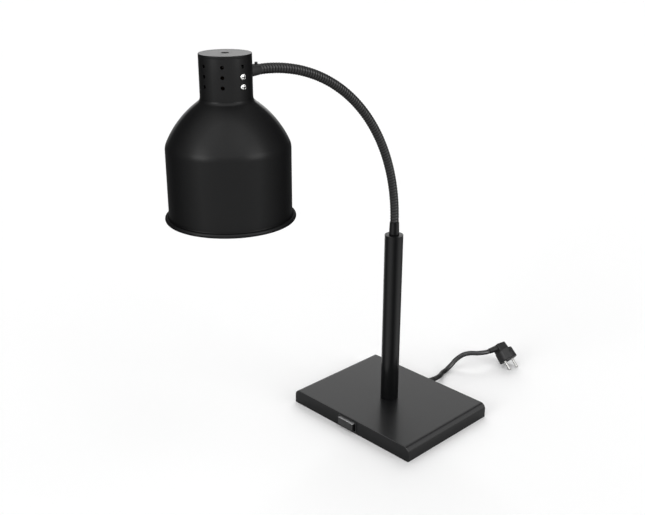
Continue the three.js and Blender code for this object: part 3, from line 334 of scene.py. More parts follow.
def put(name, shape, material, body, solid, slot, holes=(), ease=0, **look):
    """Makes a piece of a shape, with its holes and eased edges, and dresses it."""
    points, faces = shape
    obj = new_object(name, points, outward(points, faces))
    if holes:
        cut_away(obj, holes)
    if ease:
        modify(obj, "BEVEL", width=ease * MM, segments=3, limit_method="ANGLE",
               angle_limit=radians(40))
        baked(obj)
    dress(obj, material, body, solid, slot, **look)
    return obj


# Node trees

def feed(socket, value):
    """Gives an input a value, a colour or a link."""
    value = getattr(value, "socket", value)
    if isinstance(value, bpy.types.NodeSocket):
        socket.id_data.links.new(value, socket)
    else:
        socket.default_value = (*value, 1) if socket.type == "RGBA" else value


def fill(made, *values, **named):
    """Sets up a node: values for its inputs in order, then inputs by name where the name has a
    capital, and settings where it hasn't."""
    for label, value in named.items():
        if label[0].islower():
            setattr(made, label, value)
    for socket, value in zip(made.inputs, values):
        feed(socket, value)
    for label, value in named.items():
        if label[0].isupper():
            feed(made.inputs[label.replace("_", " ")], value)
    return made


def node(tree, kind, *values, **named):
    return fill(tree.nodes.new("ShaderNode" + kind), *values, **named)


def levels(made):
    """A node's outputs."""
    return [Level(socket) for socket in made.outputs]


def maths(operation, *values):
    """A Math node on levels and numbers."""
    tree = next(value.socket.id_data for value in values if isinstance(value, Level))
    return levels(node(tree, "Math", *values, operation=operation))[0]


class Level:
    """An output that can be added, taken away, multiplied and divided."""

    def __init__(self, socket):
        self.socket = socket

    __add__ = lambda self, other: maths("ADD", self, other)
    __sub__ = lambda self, other: maths("SUBTRACT", self, other)
    __rsub__ = lambda self, other: maths("SUBTRACT", other, self)
    __mul__ = lambda self, other: maths("MULTIPLY", self, other)
    __truediv__ = lambda self, other: maths("DIVIDE", self, other)

    def held(self):
        """Keeps it between 0 and 1."""
        self.socket.node.use_clamp = True
        return self


def noise(tree, place, scale, detail, roughness=0.55):
    return levels(node(tree, "TexNoise", Vector=place, Scale=scale, Detail=detail,
                       Roughness=roughness))[0]


def mixed(tree, factor, a, b, blend="MIX"):
    """Colour a turned to colour b by a factor."""
    made = node(tree, "Mix", data_type="RGBA", blend_type=blend, Factor=factor, A=a, B=b)
    return made.outputs["Result"]


def parts_of(tree, vector):
    """The X, Y and Z of a vector."""
    return levels(node(tree, "SeparateXYZ", vector))


def object_place(tree):
    return node(tree, "TexCoord").outputs["Object"]


def normal_height(tree):
    """The surface's normal's Z: 1 where the surface faces up."""
    return parts_of(tree, node(tree, "NewGeometry").outputs["Normal"])[2]


def about_axis(tree, y):
    """X, Y and Z from an upright axis that is y millimetres back."""
    moved = node(tree, "Mapping", Vector=object_place(tree), Location=(0, -y * MM, 0))
    return parts_of(tree, moved.outputs[0])


def node_group(name, make, inputs, outputs):
    """A shader node group: make() gets the tree and the named inputs, and gives the outputs."""
    group = bpy.data.node_groups.new(name, "ShaderNodeTree")
    for side, labels in (("INPUT", inputs), ("OUTPUT", outputs)):
        for label in labels:
            kind = "NodeSocketColor" if label == "Colour" else "NodeSocketFloat"
            group.interface.new_socket(label, in_out=side, socket_type=kind)
    given = group.nodes.new("NodeGroupInput").outputs
    out = group.nodes.new("NodeGroupOutput").inputs
    made = make(group, *(Level(given[label]) for label in inputs))
    for label, value in zip(outputs, made):
        feed(out[label], value)
    return group


def use_group(tree, group, **values):
    """Places a group with its own values; gives its outputs."""
    return levels(node(tree, "Group", node_tree=group, **values))


# Shared effects

def surface_grain(tree, colour, spread, roughness, rough_spread, scale):
    """Fine grain over broad clouds: colour and roughness swing with both, height with the
    fine one."""
    place = object_place(tree)
    fine = noise(tree, place, scale, 4)
    clouds = noise(tree, place, scale * 0.04, 5, 0.6)
    swing = (fine * 0.4 + clouds * 0.6 - 0.5) * 2.6
    factor = swing * spread + 1
    grey = node(tree, "CombineColor", factor, factor, factor).outputs[0]
    rough = (roughness + swing * rough_spread).held()
    return mixed(tree, 1.0, colour, grey, "MULTIPLY"), rough, fine


def edge_wear(tree, radius, amount):
    """Rubbed edges: where the surface's normal differs from the one eased over Radius, broken
    up by noise."""
    eased_normal = node(tree, "Bevel", samples=4, Radius=radius).outputs["Normal"]
    plain = node(tree, "NewGeometry").outputs["Normal"]
    same = node(tree, "VectorMath", eased_normal, plain, operation="DOT_PRODUCT")
    edge = ((1.0 - Level(same.outputs["Value"])) * 5.0).held()
    broken = noise(tree, object_place(tree), 160.0, 6, 0.7)
    return [edge * ((broken - 0.42) * 4.0).held() * amount]


def settled_dust(tree, amount):
    """Specks over patches of film, on surfaces that face up."""
    place = object_place(tree)
    dots = ((noise(tree, place, 1300.0, 2, 0.8) - 0.55) * 5.0).held()
    film = (dots + 0.35) * noise(tree, place, 14.0, 5, 0.65)
    return [(film * maths("MAXIMUM", normal_height(tree), 0.0) * amount).held()]


def spun_lines(tree, scale):
    """Lathe lines: one-dimensional noise of height + 0.6 radius about the head's axis."""
    x, y, z = about_axis(tree, HEAD_Y)
    along = z + maths("SQRT", x * x + y * y) * 0.6
    lines = node(tree, "TexNoise", noise_dimensions="1D", W=along, Scale=scale, Detail=5)
    return [lines.outputs["Fac"]]


def looking_up(tree, low, high):
    """How far a surface looks up: 0 where its normal's height is Low, 1 where it is High, and
    only from 0.48 to 0.52 m above the floor on."""
    looks = ((normal_height(tree) - low) / (high - low)).held()
    return [looks * ((parts_of(tree, object_place(tree))[2] - 0.48) * 25.0).held()]


def sheet_gloss(tree, amount):
    """Gloss of a folded sheet against the height of its normal: thin on the walls, strong over
    the fold, and thin again from where the fold ends on the flat top."""
    ramp = node(tree, "ValToRGB", normal_height(tree))
    weights = {0.0: 0.27, 0.3: 0.42, 0.5: 1.0, 0.8: 1.0, 0.93: 0.1, 0.985: 0.145}
    stops = ramp.color_ramp.elements
    stops[0].position, *between, stops[1].position = weights
    for place in between:
        stops.new(place)
    for stop, level in zip(stops, weights.values()):
        stop.color = (level, level, level, 1)
    return [Level(ramp.outputs["Color"]) * amount]


def lengthwise_bands(tree, amount):
    """Lengthwise bands of gloss on the pole, six around: (1 + cos(6 turn + 48 degrees)) / 2."""
    x, y, _ = about_axis(tree, POLE_Y)
    wave = maths("COSINE", maths("ARCTAN2", y, x) * 6.0 + radians(48))
    return [(wave + 1.0) * 0.5 * amount]


GRAIN = node_group("surface_grain", surface_grain,
                   ["Colour", "Spread", "Roughness", "Roughness Spread", "Scale"],
                   ["Colour", "Roughness", "Height"])
EDGE_WEAR = node_group("edge_wear", edge_wear, ["Radius", "Amount"], ["Mask"])
DUST = node_group("settled_dust", settled_dust, ["Amount"], ["Mask"])
SPUN_LINES = node_group("spun_lines", spun_lines, ["Scale"], ["Lines"])
LOOKING_UP = node_group("looking_up", looking_up, ["Low", "High"], ["Mask"])
SHEET_GLOSS = node_group("sheet_gloss", sheet_gloss, ["Amount"], ["Weight"])
BANDS = node_group("lengthwise_bands", lengthwise_bands, ["Amount"], ["Weight"])
DUST_COLOUR = (0.32, 0.31, 0.3)


# Materials

def finish(name, colour, roughness, grain, relief, *, metal=0.0, specular=0.5, wear=None,
           dust=0.0, lines=0.0, coat=0.0, transmission=0.0, gloss=None, rim=0.0, sheet=None,
           bands=0.0):
    """One material.  grain is (spread of colour, spread of roughness, scale), relief is
    (strength, depth in mm) and wear (amount, colour, roughness) of the rubbed edge; dust and
    lines are amounts.  gloss is (weight, roughness) of a clear gloss that dies away towards the
    outline, and rim its weight at the very edge of parts that look up.  sheet is (weight,
    roughness) of the gloss of folded sheet, and bands the weight of that of the pole."""
    material = bpy.data.materials.new(name)
    material.use_nodes = True
    tree = material.node_tree
    spread, rough_spread, scale = grain
    surface, rough, height = use_group(tree, GRAIN, Colour=colour, Spread=spread, Scale=scale,
                                       Roughness=roughness, Roughness_Spread=rough_spread)
    if lines:
        turned, = use_group(tree, SPUN_LINES, Scale=2600.0)
        height = height * (1 - lines) + turned * lines
        rough = rough + turned * 0.06
    if wear:
        amount, worn_colour, worn_rough = wear
        mask, = use_group(tree, EDGE_WEAR, Radius=0.0007, Amount=amount)
        surface = mixed(tree, mask, surface, worn_colour)
        rough = rough * (1.0 - mask) + mask * worn_rough
    if dust:
        film, = use_group(tree, DUST, Amount=dust)
        surface = mixed(tree, film, surface, DUST_COLOUR)
        rough = (rough + film * 0.3).held()
    coat_rough = 0.25
    if gloss:
        facing = Level(node(tree, "LayerWeight", Blend=0.5).outputs["Facing"])
        near = ((0.6 - facing) / 0.45).held()
        coat = near * near * ((height + 1.5) * (gloss[0] * 0.5))
        coat_rough = gloss[1]
        if rim:
            up, = use_group(tree, LOOKING_UP, Low=0.36, High=0.85)
            coat = coat + ((facing - 0.68) / 0.2).held() * up * rim
    if sheet:
        coat, = use_group(tree, SHEET_GLOSS, Amount=sheet[0])
        coat_rough = sheet[1]
    if bands:
        coat, = use_group(tree, BANDS, Amount=bands)
        coat_rough = 0.17
    bump = node(tree, "Bump", Strength=relief[0], Distance=relief[1] * MM, Height=height)
    fill(tree.nodes["Principled BSDF"], Base_Color=surface, Roughness=rough, Metallic=metal,
         Normal=bump.outputs[0], Specular_IOR_Level=specular, Coat_Weight=coat,
         Coat_Roughness=coat_rough, Transmission_Weight=transmission)
    return material


RUBBED = (0.75, (0.05, 0.05, 0.052), 0.3)
COAT_BLACK, SATIN_BLACK = (0.0068, 0.007, 0.0073), (0.0042, 0.0043, 0.0045)
gloss_paint = finish("gloss_powder_coat", COAT_BLACK, 0.45, (0.2, 0.04, 1500), (0.12, 0.03),
                     specular=0.03, wear=RUBBED, dust=0.012, sheet=(1.0, 0.2))
cap_paint = finish("powder_coated_cap", COAT_BLACK, 0.45, (0.2, 0.04, 1500), (0.12, 0.03),
                   specular=0.01, dust=0.012, coat=0.19)
tube_paint = finish("powder_coated_tube", (0.0055, 0.0057, 0.006), 0.5, (0.2, 0.04, 1500),
                    (0.12, 0.03), specular=0.03, wear=RUBBED, dust=0.012, bands=0.52)
paint = finish("satin_powder_coat", SATIN_BLACK, 0.5, (0.2, 0.05, 1500), (0.2, 0.03),
               specular=0.005, wear=RUBBED, dust=0.012, gloss=(0.4, 0.32))
spun_paint = finish("powder_coat_on_spun_shade", SATIN_BLACK, 0.5, (0.2, 0.05, 1500),
                    (0.25, 0.04), specular=0.005, dust=0.012, lines=0.35, gloss=(0.34, 0.36),
                    rim=1.0)
hose_paint = finish("coated_hose", (0.004, 0.004, 0.0042), 0.4, (0.25, 0.06, 2600), (0.15, 0.03),
                    specular=0.02, dust=0.008, gloss=(0.95, 0.28))
ferrule_paint = finish("coated_ferrule", (0.012, 0.012, 0.0122), 0.4, (0.2, 0.06, 2600),
                       (0.12, 0.03), specular=0.02, dust=0.008, gloss=(1.1, 0.25))
bare_aluminium = finish("bare_spun_aluminium", (0.72, 0.72, 0.71), 0.3, (0.06, 0.05, 600),
                        (0.35, 0.04), metal=1.0, lines=0.85)
plastic = finish("moulded_plastic", (0.008, 0.008, 0.0085), 0.38, (0.15, 0.06, 3200),
                 (0.25, 0.03), specular=0.4, wear=(0.5, (0.03, 0.03, 0.031), 0.25), dust=0.03)
rubber = finish("black_rubber", (0.005, 0.005, 0.0052), 0.42, (0.25, 0.07, 2400), (0.25, 0.03),
                specular=0.03, dust=0.01, gloss=(1.1, 0.25))
plug_rubber = finish("plug_rubber", (0.008, 0.008, 0.0084), 0.5, (0.25, 0.07, 2400),
                     (0.35, 0.04), specular=0.1, dust=0.03, gloss=(0.5, 0.35),
                     wear=(0.5, (0.035, 0.035, 0.036), 0.4))
# Pale grey for the faces of the rocker that look up: a painted highlight on its black plastic.
rocker_top_painted_highlight = finish("painted_highlight_on_rocker_top", (0.3, 0.3, 0.305), 0.2, (0.1, 0.06, 3200), (0.1, 0.02),
                    specular=0.8, dust=0.03)
polished_steel = finish("polished_screw_head", (0.82, 0.82, 0.8), 0.14, (0.05, 0.05, 2600),
                        (0.1, 0.02), metal=1.0, wear=(0.3, (0.6, 0.58, 0.55), 0.3))
# Blackened steel for the set screw and the lamp holder's bracket, and painted shade: dark on the
# plug's earth clips and in the dome screws' cross slots.
black_steel_and_painted_shade = finish("blackened_steel_and_painted_shade", (0.012, 0.012, 0.0125), 0.5, (0.25, 0.06, 1800),
                     (0.2, 0.03), metal=0.1, specular=0.3)
nickel = finish("bright_nickel", (0.34, 0.337, 0.33), 0.28, (0.07, 0.06, 2600), (0.12, 0.02),
                metal=1.0, wear=(0.4, (0.6, 0.52, 0.36), 0.3))
zinc = finish("zinc_plated_steel", (0.5, 0.5, 0.49), 0.38, (0.2, 0.1, 1800), (0.2, 0.03),
              metal=1.0, wear=(0.5, (0.7, 0.7, 0.7), 0.25))
raw_steel = finish("rolled_steel", (0.1, 0.1, 0.105), 0.5, (0.3, 0.12, 500), (0.3, 0.05),
                   metal=0.9, wear=(0.6, (0.4, 0.4, 0.4), 0.35))
brass = finish("plain_brass", (0.6, 0.42, 0.17), 0.3, (0.18, 0.1, 1500), (0.15, 0.02),
               metal=1.0, wear=(0.5, (0.8, 0.65, 0.35), 0.2))
porcelain = finish("brown_glazed_porcelain", (0.055, 0.028, 0.016), 0.22, (0.12, 0.05, 700),
                   (0.1, 0.03), coat=0.4, wear=(0.4, (0.2, 0.13, 0.09), 0.5))
ruby = finish("ruby_stained_glass", (0.42, 0.02, 0.015), 0.06, (0.12, 0.03, 300), (0.06, 0.05),
              transmission=1.0)
tungsten = finish("bulb_wire", (0.35, 0.34, 0.33), 0.4, (0.2, 0.06, 3000), (0.1, 0.1), metal=1.0)
silicone = finish("silicone_insulation", (0.62, 0.58, 0.5), 0.55, (0.1, 0.06, 1800), (0.2, 0.03))

BY_SLOT = {
    "black_paint": paint, "black_spun": spun_paint, "black_hose": hose_paint, "steel": zinc,
    "black_plastic": plastic, "raw_steel": raw_steel, "nickel": nickel, "brass": brass,
    "rubber": rubber, "porcelain": porcelain, "ruby_glass": ruby, "lead": silicone,
}
BY_NODE = {"bulb_filament": tungsten, "holder_bracket": black_steel_and_painted_shade}


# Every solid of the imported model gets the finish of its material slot.
for row in frame["record"]["subparts"]:
    solid = frame["nodes"][row["node"]]
    material = BY_NODE.get(row["node"], BY_SLOT[row["material_slot"]])
    for slot in solid.material_slots:
        slot.material = material
    if not solid.material_slots:
        solid.data.materials.append(material)


# Cord and plug

def plug_frame(points):
    """Plug points, x along the pins and y from pin to pin: turned by the tilt about Y, then
    about Z."""
    c, s = cos(PLUG_TILT), sin(PLUG_TILT)
    tilt = np.array([[c, 0, s], [0, 1, 0], [-s, 0, c]])
    c, s = cos(PLUG_TURN), sin(PLUG_TURN)
    turn = np.array([[c, -s, 0], [s, c, 0], [0, 0, 1]])
    return points @ (turn @ tilt).T + (PLUG_X, PLUG_Y, PLUG_RADIUS * cos(PLUG_TILT) + 0.1)


def spans(line):
    """The distances from each point to the next."""
    return np.linalg.norm(np.diff(line, axis=0), axis=1)


def smooth_line(knots, per_span=40):
    """A centripetal Catmull-Rom line: between two knots the point is blended from four of them,
    with knot times that grow with the square root of their distance."""
    knots = np.array(knots, float)
    knots = join([[2 * knots[0] - knots[1]], knots, [2 * knots[-1] - knots[-2]]])
    t = join([[0], np.cumsum(np.sqrt(spans(knots)))])
    parts = []
    for k in range(1, len(knots) - 2):
        x = np.linspace(t[k], t[k + 1], per_span, endpoint=False)[:, None]

        def between(a, b, low, high):
            return ((high - x) * a + (x - low) * b) / (high - low)
        first = [between(knots[j], knots[j + 1], t[j], t[j + 1]) for j in (k - 1, k, k + 1)]
        second = [between(first[j], first[j + 1], t[k - 1 + j], t[k + 1 + j]) for j in (0, 1)]
        parts.append(between(*second, t[k], t[k + 1]))
    return join(parts + [knots[-2:-1]])


def evenly(line, count):
    """The same line in steps of equal length."""
    run = join([[0], np.cumsum(spans(line))])
    wanted = np.linspace(0, run[-1], count)
    return np.stack([np.interp(wanted, run, line[:, k]) for k in range(3)], 1)


def make_cord():
    sleeve_end = [[SLEEVE_X, SLEEVE_TIP_Y - 6, 0], [SLEEVE_X, SLEEVE_TIP_Y - 0.3, 0]]
    route = [[x, y + POLE_Y, z] for x, y, z in CORD_ROUTE]
    knots = [[0, CORD_EXIT_Y, CORD_EXIT_Z], *route, *plug_frame(np.array(sleeve_end))]
    line = evenly(smooth_line(knots), 260)
    cord = put("cord", tube_along(line, CORD_RADIUS, 28), rubber, "stand", "power_cord",
               "rubber", sharp=60)
    return cord, line


def make_plug():
    """A round face body, a square hood behind it and a ribbed sleeve at its side, each a closed
    shape, melted into one by a fine remesh and smoothed."""
    face = lathe(eased([(0, -PLUG_DEPTH), (PLUG_RADIUS - 0.8, -PLUG_DEPTH, 1),
                        (PLUG_RADIUS, 0, 0.9), (0, 0)]), along="right", sides=96)
    hood_line = eased([
        (-PLUG_DEPTH + 6, -14), (-PLUG_DEPTH + 6, 8.7), (-PLUG_DEPTH, 8.7, 1),
        (HOOD_BACK + 0.3, 7.2, 0.8), (HOOD_BACK, -12, 1.5), (HOOD_BACK + 1, -14, 1),
    ], closed=True)
    half = [(0, 9), (0.95, 9), (0.985, 8.6), (1, 7.6)]
    hood = grid(stacked(hood_line, half + [(keep, -z) for keep, z in half[::-1]]))
    tip = SLEEVE_TIP_Y - SLEEVE_ROOT_Y
    steps = np.linspace(0, 1, 120)
    radius = 5.9 - 0.9 * steps - rings_cut(steps, 0.55, 0.12, 0.93)
    sleeve = lathe([(0, 3), (5.9, 3), *np.c_[radius, tip * steps], (0, tip)],
                   (SLEEVE_X, SLEEVE_ROOT_Y, 0), "back", 48)
    points, faces = several([face, hood, sleeve])
    plug = new_object("plug", plug_frame(points), faces)
    modify(plug, "REMESH", mode="VOXEL", voxel_size=0.00045)
    modify(plug, "SMOOTH", factor=0.5, iterations=6)
    baked(plug)
    holes = []
    for side in (-1, 1):
        low, high = sorted((side * 14.7, side * 19.6))
        holes.append(box_shape((-12, -3.3, low), (1, 3.3, high)))
        holes.append(cylinder(2.7, -11.9, 1, (0, side * PIN_PITCH / 2, 0), "right"))
    cut_away(plug, [(plug_frame(p), f) for p, f in holes])
    dress(plug, plug_rubber, "stand", "plug_body", "rubber", sharp=45)
    return plug


def make_pins():
    """Two round pins and two flat earth clips."""
    pins = []
    tip = arc(PIN_RADIUS - PIN_TIP, PIN_LENGTH - PIN_TIP, PIN_TIP, 0, pi / 2, 8)
    profile = [(0, -11.5), (PIN_RADIUS, -11.5), *tip, (0, PIN_LENGTH)]
    for k, side in ((1, -1), (2, 1)):
        p, f = lathe(profile, (0, side * PIN_PITCH / 2, 0), "right", 40)
        pins.append(put(f"pin_{k}", (plug_frame(p), f), nickel, "stand", f"plug_pin_{k}",
                        "nickel"))
        # The earth clips, nickel on the real plug, take the dark steel finish as painted shade of
        # their recesses.
        p, f = box_shape((-11.5, -3, side * 16.55 - 0.4), (-0.6, 3, side * 16.55 + 0.4))
        pins.append(put(f"clip_{k}", (plug_frame(p), f), black_steel_and_painted_shade, "stand",
                        f"earth_clip_{k}", "nickel", ease=0.25))
    return pins


def make_gland():
    """A sleeve that narrows as (1 - s)^1.6, with shallow rings, and a collar on either side of
    the back wall."""
    steps = np.linspace(0, 1, 110)
    radius = 4.85 + 3.15 * (1 - steps) ** 1.6 - rings_cut(steps, 0.4, 0.1, 0.95)
    collars = eased([(4.5, -3.6), (9, -3.6, 0.5), (9, -1.8), (6, -1.8), (6, 0.3), (10, 0.3, 0.4),
                     (10, 2.1, 0.7), (8.2, 2.6)])
    sleeve = np.c_[radius, 3.1 + (GLAND_LENGTH - 3.1) * steps]
    shape = lathe([*collars, *sleeve, (4.45, GLAND_LENGTH)], (0, BACK, CORD_EXIT_Z), "back")
    return put("strain_relief", shape, rubber, "stand", "cord_gland", "rubber")


cord, cord_line = make_cord()
cord_pieces = [make_gland(), make_plug(), *make_pins(), frame["nodes"]["cord_tail"]]
(evenly(cord_line, 40) * MM).tolist()


# Base

def cover_outline(inset):
    """The cover in X and Z, drawn in by an inset: two walls, two quarter circles, a flat top."""
    half = BASE_LENGTH / 2
    centre = TOP_SHEET - EDGE_RADIUS
    left = join([
        [(inset - half, SKIRT_LIFT), (inset - half, centre - 0.6)],
        arc(EDGE_RADIUS - half, centre, EDGE_RADIUS - inset, pi, pi / 2, 20),
        [(EDGE_RADIUS + 0.6 - half, TOP_SHEET - inset)],
    ])
    return join([left, left[::-1] * (-1, 1)])


def make_cover():
    """The folded sheet: its outline carried along Y; the last steps at either end draw in by a
    quarter circle.  The underside is open, and the wall is put on inwards."""
    draws = [*quarter(SIDE_EDGE), (0, SIDE_EDGE + 0.6)]
    closed = cover_outline(SIDE_EDGE) * (0.999, 0) + (0, SKIRT_LIFT)
    rows = []
    for side, order in ((FRONT, 1), (BACK, -1)):
        part = [(closed, side), *((cover_outline(i), side + order * step) for i, step in draws)]
        rows += [np.insert(line, 1, y, axis=1) for line, y in part[::order]]
    points, faces = grid(np.stack(rows), close_columns=False)
    obj = new_object("cover", points, outward(points, faces))
    modify(obj, "SOLIDIFY", thickness=COVER_WALL * MM, offset=-1, use_even_offset=True)
    baked(obj)
    switch_hole = box_shape((SWITCH_X - HOLE_HALF, FRONT - 2, SWITCH_Z - HOLE_HALF_HEIGHT),
                            (SWITCH_X + HOLE_HALF, FRONT + 3, SWITCH_Z + HOLE_HALF_HEIGHT))
    cut_away(obj, [switch_hole, cylinder(CORD_HOLE, -4, 3, (0, BACK, CORD_EXIT_Z), "back")])
    dress(obj, gloss_paint, "stand", "base_cover", "black_paint", sharp=30)


def make_feet():
    top = FOOT_HEIGHT - 0.3
    profile = eased([(0, 0), (FOOT_RADIUS, 0, 0.8), (FOOT_RADIUS - 0.4, top, 0.5), (0, top)])
    places = [(sx * FOOT_X, POLE_Y + sy * FOOT_Y, 0) for sx in (-1, 1) for sy in (-1, 1)]
    for k, place in enumerate(places, 1):
        put(f"foot_{k}", lathe(profile, place, sides=48), rubber, "stand", f"rubber_foot_{k}",
            "rubber")


def cross_slot(radius, depth, origin, along):
    """A plus-shaped prism that sinks into a screw's head, for a cross-head driver: a
    twelve-cornered outline carried from depth below the head's top to depth above it."""
    a, b = radius * 0.66, radius * 0.18
    plus = [(a, -b), (a, b), (b, b), (b, a), (-b, a), (-b, b),
            (-a, b), (-a, -b), (-b, -b), (-b, -a), (b, -a), (b, -b)]
    p, f = grid(stacked(plus, [(0, -depth), (1, -depth), (1, depth), (0, depth)], (0, 0)))
    return [(np.array(origin) + p @ AXES[along], f)]


def make_screws():
    places = [(sx * SCREW_X, y) for sx in (-1, 1) for y in SCREW_ROWS]
    head = eased([(0, 0.8), (2.1, 0.8), (SCREW_RADIUS, 2.4, 0.7), (SCREW_RADIUS, 2.7),
                  (2, 2.7), (2, 20), (0, 21.2)])
    for k, (x, y) in enumerate(places, 1):
        put(f"base_screw_{k}", lathe(head, (x, y, 0), sides=32), zinc, "stand",
            f"plate_screw_{k}", "steel",
            holes=cross_slot(SCREW_RADIUS, 1.2, (x, y, 0.8), "up"))


def make_housing():
    """A bezel and its box: rounded rectangles of half size opening + d, one for each (d, y) of
    a section through the rim, from the outside to the bottom of the hollow."""
    section = eased([
        (0.3, 24.6), (0.3, -0.3), (2.2, -0.3, 0.2), (2.2, -0.9, 0.5), (0.3, -0.9, 0.4),
        (0, -0.4, 0.3), (0, 13), (-7.3, 13), (-7.3, 13.1), (-7.3, 24.6),
    ])
    rows = []
    for d, y in section:
        ring = rounded_ring(OPENING_HALF + d, OPENING_HALF_HEIGHT + d, max(0.9 + d, 0.1))
        rows.append(np.insert(ring + (SWITCH_X, SWITCH_Z), 1, FRONT + y, axis=1))
    slots = [box_shape((x - 0.7, FRONT + 22, SWITCH_Z - 3.4), (x + 0.7, FRONT + 27, SWITCH_Z + 3.4))
             for x in (SWITCH_X - 7, SWITCH_X + 7)]
    put("switch_frame", grid(np.stack(rows), close_rows=True), plastic, "stand",
        "switch_housing", "black_plastic", holes=slots, sharp=30)


def make_rocker():
    """The rocker's section in X and Y, two flats that meet in a shallow V, carried along Z and
    turned about its pins, with eased edges.  Its faces that look up are pale grey, a painted
    highlight on the black plastic."""
    section = eased([
        (-ROCKER_HALF, 6.0, 0.4), (0, 4.7, 1.2), (ROCKER_HALF, 4.0, 0.4), (15.8, -3, 1),
        (8.5, -6, 1), (-8.5, -6, 1), (-15.8, -3, 1),
    ], closed=True, steps=5)
    half = [(0.0, -ROCKER_HALF_HEIGHT), *((1 - inset / 5, step - ROCKER_HALF_HEIGHT)
                                          for inset, step in quarter(ROCKER_EASE))]
    rows = stacked(section, half + [(keep, -z) for keep, z in half[::-1]], (0, -1.0))
    x, y, z = rows[..., 0], -rows[..., 1] - 2, rows[..., 2]
    c, s = cos(ROCKER_TILT), sin(ROCKER_TILT)
    pivot = (SWITCH_X, FRONT + 2, SWITCH_Z)
    shape = grid(np.stack([c * x - s * y, s * x + c * y, z], -1) + pivot)
    put("rocker", several([shape, cylinder(1.4, -7.7, 7.7, pivot, sides=24)]), plastic, "rocker",
        "switch_rocker", "black_plastic", sharp=32,
        inner=(rocker_top_painted_highlight, lambda middle, facing: facing[:, 2] > 0.6))


# Pole and arm

def make_pole():
    """The tube, the bush in its top and the cone that holds the hose."""
    top = (cap_paint, lambda middle, facing: (facing[:, 2] > 0.9) & (middle[:, 2] > POLE_TOP - 1))
    tube = eased([(13.2, POLE_FOOT), (POLE_RADIUS, POLE_FOOT, 0.3), (POLE_RADIUS, POLE_TOP, 0.5),
                  (13, POLE_TOP, 0.2), (13, POLE_TOP - 30), (13.2, POLE_FOOT + 1)])
    bush = eased([(6.6, POLE_TOP - 20), (12.7, POLE_TOP - 20), (12.7, POLE_TOP, 0.3),
                  (6.6, POLE_TOP, 0.3)], closed=True)
    cone = eased([(4.4, FERRULE_FOOT - 14), (6.2, FERRULE_FOOT - 14), (6.2, FERRULE_FOOT),
                  (8.3, FERRULE_FOOT, 0.4), (8.3, FERRULE_FOOT + 2, 0.4), (7.5, FERRULE_TIP, 0.6),
                  (6.5, FERRULE_TIP, 0.2), (6.5, HOSE_START - 0.3), (4.4, HOSE_START - 0.3)],
                 closed=True)
    for name, profile, sides, solid, inner in (
        ("pole", tube, 96, "pole_tube", top), ("pole_plug", bush, 72, "pole_top_bush", top),
        ("pole_ferrule", cone, 72, "lower_ferrule", None),
    ):
        put(name, lathe(profile, (0, POLE_Y, 0), sides=sides), tube_paint, "stand", solid,
            "black_paint", inner=inner)


def arm_places(s):
    """Places and inward directions at distances s along the hose: up, round a quarter circle of
    radius BEND, and on to the neck."""
    turn = np.clip((s - RISE) / BEND, 0, pi / 2)
    before = np.minimum(s - RISE, 0)
    after = np.maximum(s - RISE - QUARTER, 0)
    zero = np.zeros_like(s)
    place = np.stack([zero, POLE_Y - BEND + BEND * np.cos(turn) - after,
                      BEND_START + BEND * np.sin(turn) + before], 1)
    return place, np.stack([zero, -np.cos(turn), -np.sin(turn)], 1)


def wound_hose(start, end, plain_start, plain_end):
    """A wound steel hose between two distances along the arm.  Its radius runs from the groove to
    the rib with the phase s / pitch + angle / turn as |sin|, round ribs with sharp grooves; the
    plain ends stay at the groove's radius.  Ring = place + radius (cos a x + sin a inward)."""
    count = int(round((end - start) / RIB_PITCH * 14))
    s = np.linspace(start, end, count + 1)
    a = around(36)
    phase = (s[:, None] / RIB_PITCH + a[None] / (2 * pi)) % 1
    ribbed = np.clip(s - plain_start, 0, 1) * np.clip(plain_end - s, 0, 1)
    radius = GROOVE_RADIUS + (HOSE_RADIUS - GROOVE_RADIUS) * np.sin(pi * phase) * ribbed[:, None]
    place, inward = arm_places(s)
    a = a[None, :, None]
    spoke = np.cos(a) * np.array([1.0, 0, 0]) + np.sin(a) * inward[:, None]
    outside = place[:, None] + radius[..., None] * spoke
    inner = np.linspace(0, count, 9).round().astype(int)[::-1]
    inside = place[inner][:, None] + HOSE_BORE * spoke[inner]
    return grid(join([outside, inside]), close_rows=True)


def make_hose():
    """Six lengths, each from the middle of one link to the middle of the next, so that each
    crosses one bending place."""
    nodes = ["gooseneck_root", *(f"gooseneck_link_{k}" for k in range(1, 6)), "gooseneck_tip"]
    total = RISE + QUARTER + HOSE_IN_FERRULE
    marks = [0.0, *(RISE + BEND * radians(15 * k) for k in range(1, 6)), total]
    for k in range(6):
        shape = wound_hose(marks[k], marks[k + 1], HOSE_IN_FERRULE if k == 0 else -5,
                           total - PLAIN_END if k == 5 else inf)
        piece = put(f"hose_{k + 1}", shape, hose_paint, None, None, "black_hose", sharp=180)
        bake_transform(piece)
        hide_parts(*(nodes[5:] if k == 5 else nodes[k:k + 1]))


# Head

def make_upper_ferrule():
    near = NECK_RADIUS
    far = near + 20
    body = eased([(3.1, near - 8.4), (5, near - 8.4, 0.4), (5, near), (8.5, near, 0.4),
                  (8.2, near + 8, 6), (7.1, far, 0.4), (6.5, far), (6.5, 40.4), (3.1, 40.4)],
                 closed=True)
    place = (0, HEAD_Y + near + 16, ARM_HEIGHT)
    put("neck_ferrule", lathe(body, (0, HEAD_Y, ARM_HEIGHT), "back", 72), ferrule_paint, "head",
        "upper_ferrule", "black_paint", holes=[cylinder(2.35, 5.5, 10, place)])
    screw = eased([(0, 6.5), (2, 6.5), (2, 9.95, 0.4), (0, 9.95)])
    slot = cross_slot(2.2, 0.7, (*place[:2], ARM_HEIGHT + 9.95), "up")
    put("set_screw", lathe(screw, place, sides=32), black_steel_and_painted_shade, "head", "ferrule_set_screw",
        "steel", holes=slot)


